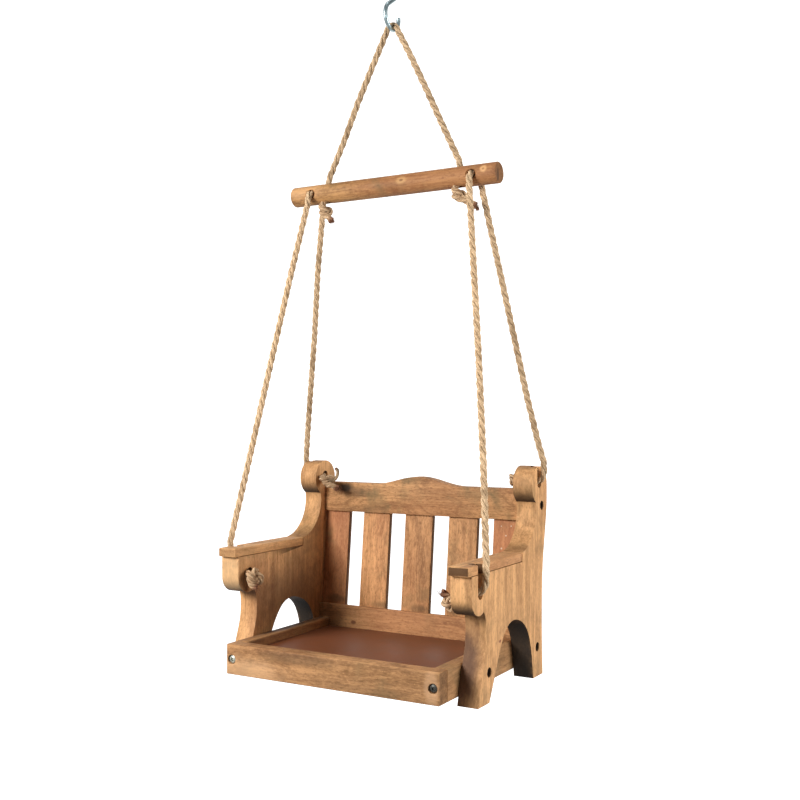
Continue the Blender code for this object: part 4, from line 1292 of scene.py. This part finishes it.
class SWING_OT_hook(bpy.types.Operator):
    """The S-hook of plated wire"""
    bl_idname = "swing.hook"
    bl_label = "S-hook"

    def execute(self, context):
        low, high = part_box("s_hook")
        radius = 2 * MM
        bend = (high.y - low.y) / 2 - radius
        centres = high.z - low.z - 2 * (bend + radius)
        lean = math.asin(2 * bend / centres)
        tip = math.radians(12)
        low_centre = low.z + radius + bend
        points = []
        count = 60
        for k in range(count + 1):
            a = tip - (math.pi + lean + tip) * k / count
            points.append(Vector((0, bend * math.cos(a), low_centre + bend * math.sin(a))))
        for k in range(count + 1):
            a = -lean + (math.pi + tip + lean) * k / count
            points.append(Vector((0, bend * math.cos(a), low_centre + centres + bend * math.sin(a))))
        points = evenly(points, STEP)
        count = len(points)
        girth = []
        for k in range(count):
            near = min(k, count - 1 - k) / 2.0
            girth.append(math.sqrt(max(0.1, 1 - max(0.0, 1 - near) ** 2)))
        side = [(1, 0, 0)] * count
        host = path_mesh(points, [0.0] * count, side, girth, [0.0] * count)
        piece = grown("s_hook_finished", host, wire_tree(), {"Radius": radius, "Material": zinc_finish()})
        stand_for(piece, "hook", "hook_zinc", "s_hook")
        return {"FINISHED"}


def threaded_profile(head, length, shank, pitch, sides=24):
    """A shank with a helical thread below a head of (radius, height) pairs; heights fall."""
    bm = turned_mesh(head, sides)
    floor = head[-1][1]
    step = pitch / 6
    head_and_tip = 2 * MM
    count = int((length - head_and_tip) / step)
    rings = [[v for v in bm.verts if abs(v.co.z - floor) < 1e-7 and v.co.xy.length > 1e-7]]
    rings[0].sort(key=lambda v: math.atan2(v.co.y, v.co.x) % (2 * math.pi))
    for k in range(1, count + 1):
        height = floor - step * k
        ring = []
        for s in range(sides):
            phase = (k * step / pitch + s / sides) % 1.0
            ridge = max(0.0, 1 - abs(phase - 0.5) * 4)
            taper = min(1.0, (count - k) / 12 + 0.25)
            radius = shank * taper * (0.78 + 0.22 * ridge)
            ring.append(bm.verts.new(round_z(radius, height, s, sides)))
        rings.append(ring)
    for high, low in zip(rings, rings[1:]):
        for s in range(sides):
            bm.faces.new((high[s], low[s], low[(s + 1) % sides], high[(s + 1) % sides]))
    bm.faces.new(rings[-1])
    bmesh.ops.recalc_face_normals(bm, faces=bm.faces)
    return bm


class SWING_OT_screws(bpy.types.Operator):
    """The cross-head screws, sunk into the tray front and the side panels"""
    bl_idname = "swing.screws"
    bl_label = "Screws"

    def execute(self, context):
        head_r, head_t = 3.7 * MM, 2.4 * MM
        length, shank, pitch = 28 * MM, 1.9 * MM, 1.6 * MM
        rubbed, dull = 0.95, 0.12
        dome = [(0, head_t)]
        dome += [(head_r * math.sin(a), head_t * 0.35 + head_t * 0.65 * math.cos(a)) for a in
                 (0.25, 0.5, 0.75, 1.0, 1.25, 1.57)]
        dome += [(head_r, head_t * 0.12), (head_r * 0.96, 0), (shank * 0.78, 0)]
        bm = threaded_profile(dome, length, shank, pitch)
        pattern = built(bm, "one_screw")
        slots = []
        for angle in (0, math.pi / 2):
            bar = bmesh.new()
            bmesh.ops.create_cube(bar, size=1)
            bmesh.ops.scale(bar, vec=(head_r * 1.2, head_r * 0.34, head_t * 1.2), verts=bar.verts)
            for vert in bar.verts:
                if vert.co.z < 0:
                    vert.co.x *= 0.45
            bmesh.ops.translate(bar, vec=(0, 0, head_t * 1.02), verts=bar.verts)
            bmesh.ops.rotate(bar, cent=(0, 0, 0), matrix=Matrix.Rotation(angle, 3, "Z"), verts=bar.verts)
            slots.append(bar)
        cut_away(pattern, slots)
        smooth(pattern, 35)
        points, axes, rolls, polish, nodes = [], [], [], [], []
        for side, tag in SIDES:
            low, middle, high = box_of("tray_screw_" + tag)
            nodes.append("tray_screw_" + tag)
            points.append((middle.x, low.y + head_t, middle.z))
            axes.append((0, -1, 0))
            rolls.append(0.35 if side < 0 else 0.9)
            polish.append(rubbed if side < 0 else dull)
            for place, roll in (("post", 0.2), ("back_leg", 0.7), ("front_leg", 1.2)):
                node = f"panel_screw_{place}_{tag}"
                low, middle, high = box_of(node)
                nodes.append(node)
                face = high.x if side > 0 else low.x
                points.append((face - side * head_t, middle.y, middle.z))
                axes.append((side, 0, 0))
                rolls.append(roll)
                polish.append(dull)
        host = point_mesh(points, axis=axes, roll=rolls, polish=polish)
        tree = bpy.data.node_groups.get("Fasteners") or fastener_tree()
        values = {"Fastener": pattern, "Material": screw_finish()}
        spread("cross_head_screws", pattern, host, tree, values, "screw_steel", nodes)
        return {"FINISHED"}


class SWING_OT_nails(bpy.types.Operator):
    """The small nails that hold the slats from behind"""
    bl_idname = "swing.nails"
    bl_label = "Slat nails"

    def execute(self, context):
        head_r, shank, thick = 1.8 * MM, 0.8 * MM, 0.8 * MM
        long = 8.1 * MM
        profile = [(0, thick), (head_r * 0.7, thick * 0.98), (head_r * 0.95, thick * 0.75),
                   (head_r, thick * 0.4), (head_r * 0.96, 0), (shank, 0), (shank, -long * 0.85), (0, -long)]
        bm = turned_mesh(profile, 20)
        bmesh.ops.recalc_face_normals(bm, faces=bm.faces)
        pattern = built(bm, "one_nail")
        smooth(pattern, 40)
        out = Vector((0, math.cos(SLAT_LEAN), -math.sin(SLAT_LEAN)))
        points, nodes = [], []
        for number in range(1, 6):
            for end in ("low", "high"):
                node = f"slat_nail_{number}_{end}"
                _, middle, _ = box_of(node)
                nodes.append(node)
                points.append(middle + out * ((long + thick) / 2 - thick))
        host = point_mesh(points, axis=[tuple(out)] * len(points), roll=[0.0] * len(points),
                          polish=[0.6] * len(points))
        tree = bpy.data.node_groups.get("Fasteners") or fastener_tree()
        material = bpy.data.materials.get("screw steel") or screw_finish()
        values = {"Fastener": pattern, "Material": material}
        spread("slat_nails", pattern, host, tree, values, "nail_steel", nodes)
        return {"FINISHED"}


class SWING_PT_panel(bpy.types.Panel):
    """Lists the pieces and what may be changed"""
    bl_idname = "SWING_PT_panel"
    bl_label = "Porch Swing Feeder"
    bl_space_type = "VIEW_3D"
    bl_region_type = "UI"
    bl_category = "Swing"

    def draw(self, context):
        layout = self.layout
        for group in (context.scene.swing_wood, context.scene.swing_rope, context.scene.swing_metal):
            box = layout.box()
            for label in group.__annotations__:
                box.prop(group, label)
        for operator in OPERATORS:
            layout.operator(operator.bl_idname)


OPERATORS = (SWING_OT_stage, SWING_OT_slings, SWING_OT_hanger, SWING_OT_side_panels, SWING_OT_armrests,
             SWING_OT_rails, SWING_OT_slats, SWING_OT_tray, SWING_OT_spreader_bar, SWING_OT_hook,
             SWING_OT_screws, SWING_OT_nails)
GROUPS = (("swing_wood", SwingWood), ("swing_rope", SwingRope), ("swing_metal", SwingMetal))


def register():
    for label, group in GROUPS:
        bpy.utils.register_class(group)
        setattr(bpy.types.Scene, label, bpy.props.PointerProperty(type=group))
    for item in (*OPERATORS, SWING_PT_panel):
        bpy.utils.register_class(item)


def unregister():
    for item in reversed((*OPERATORS, SWING_PT_panel)):
        bpy.utils.unregister_class(item)
    for label, group in reversed(GROUPS):
        delattr(bpy.types.Scene, label)
        bpy.utils.unregister_class(group)


def main():
    register()
    bpy.ops.swing.stage()
    bpy.ops.swing.slings()
    bpy.ops.swing.hanger()
    bpy.ops.swing.side_panels()
    bpy.ops.swing.armrests()
    bpy.ops.swing.rails()
    bpy.ops.swing.slats()
    bpy.ops.swing.tray()
    bpy.ops.swing.spreader_bar()
    bpy.ops.swing.hook()
    bpy.ops.swing.screws()
    bpy.ops.swing.nails()


if __name__ == "__main__":
    main()
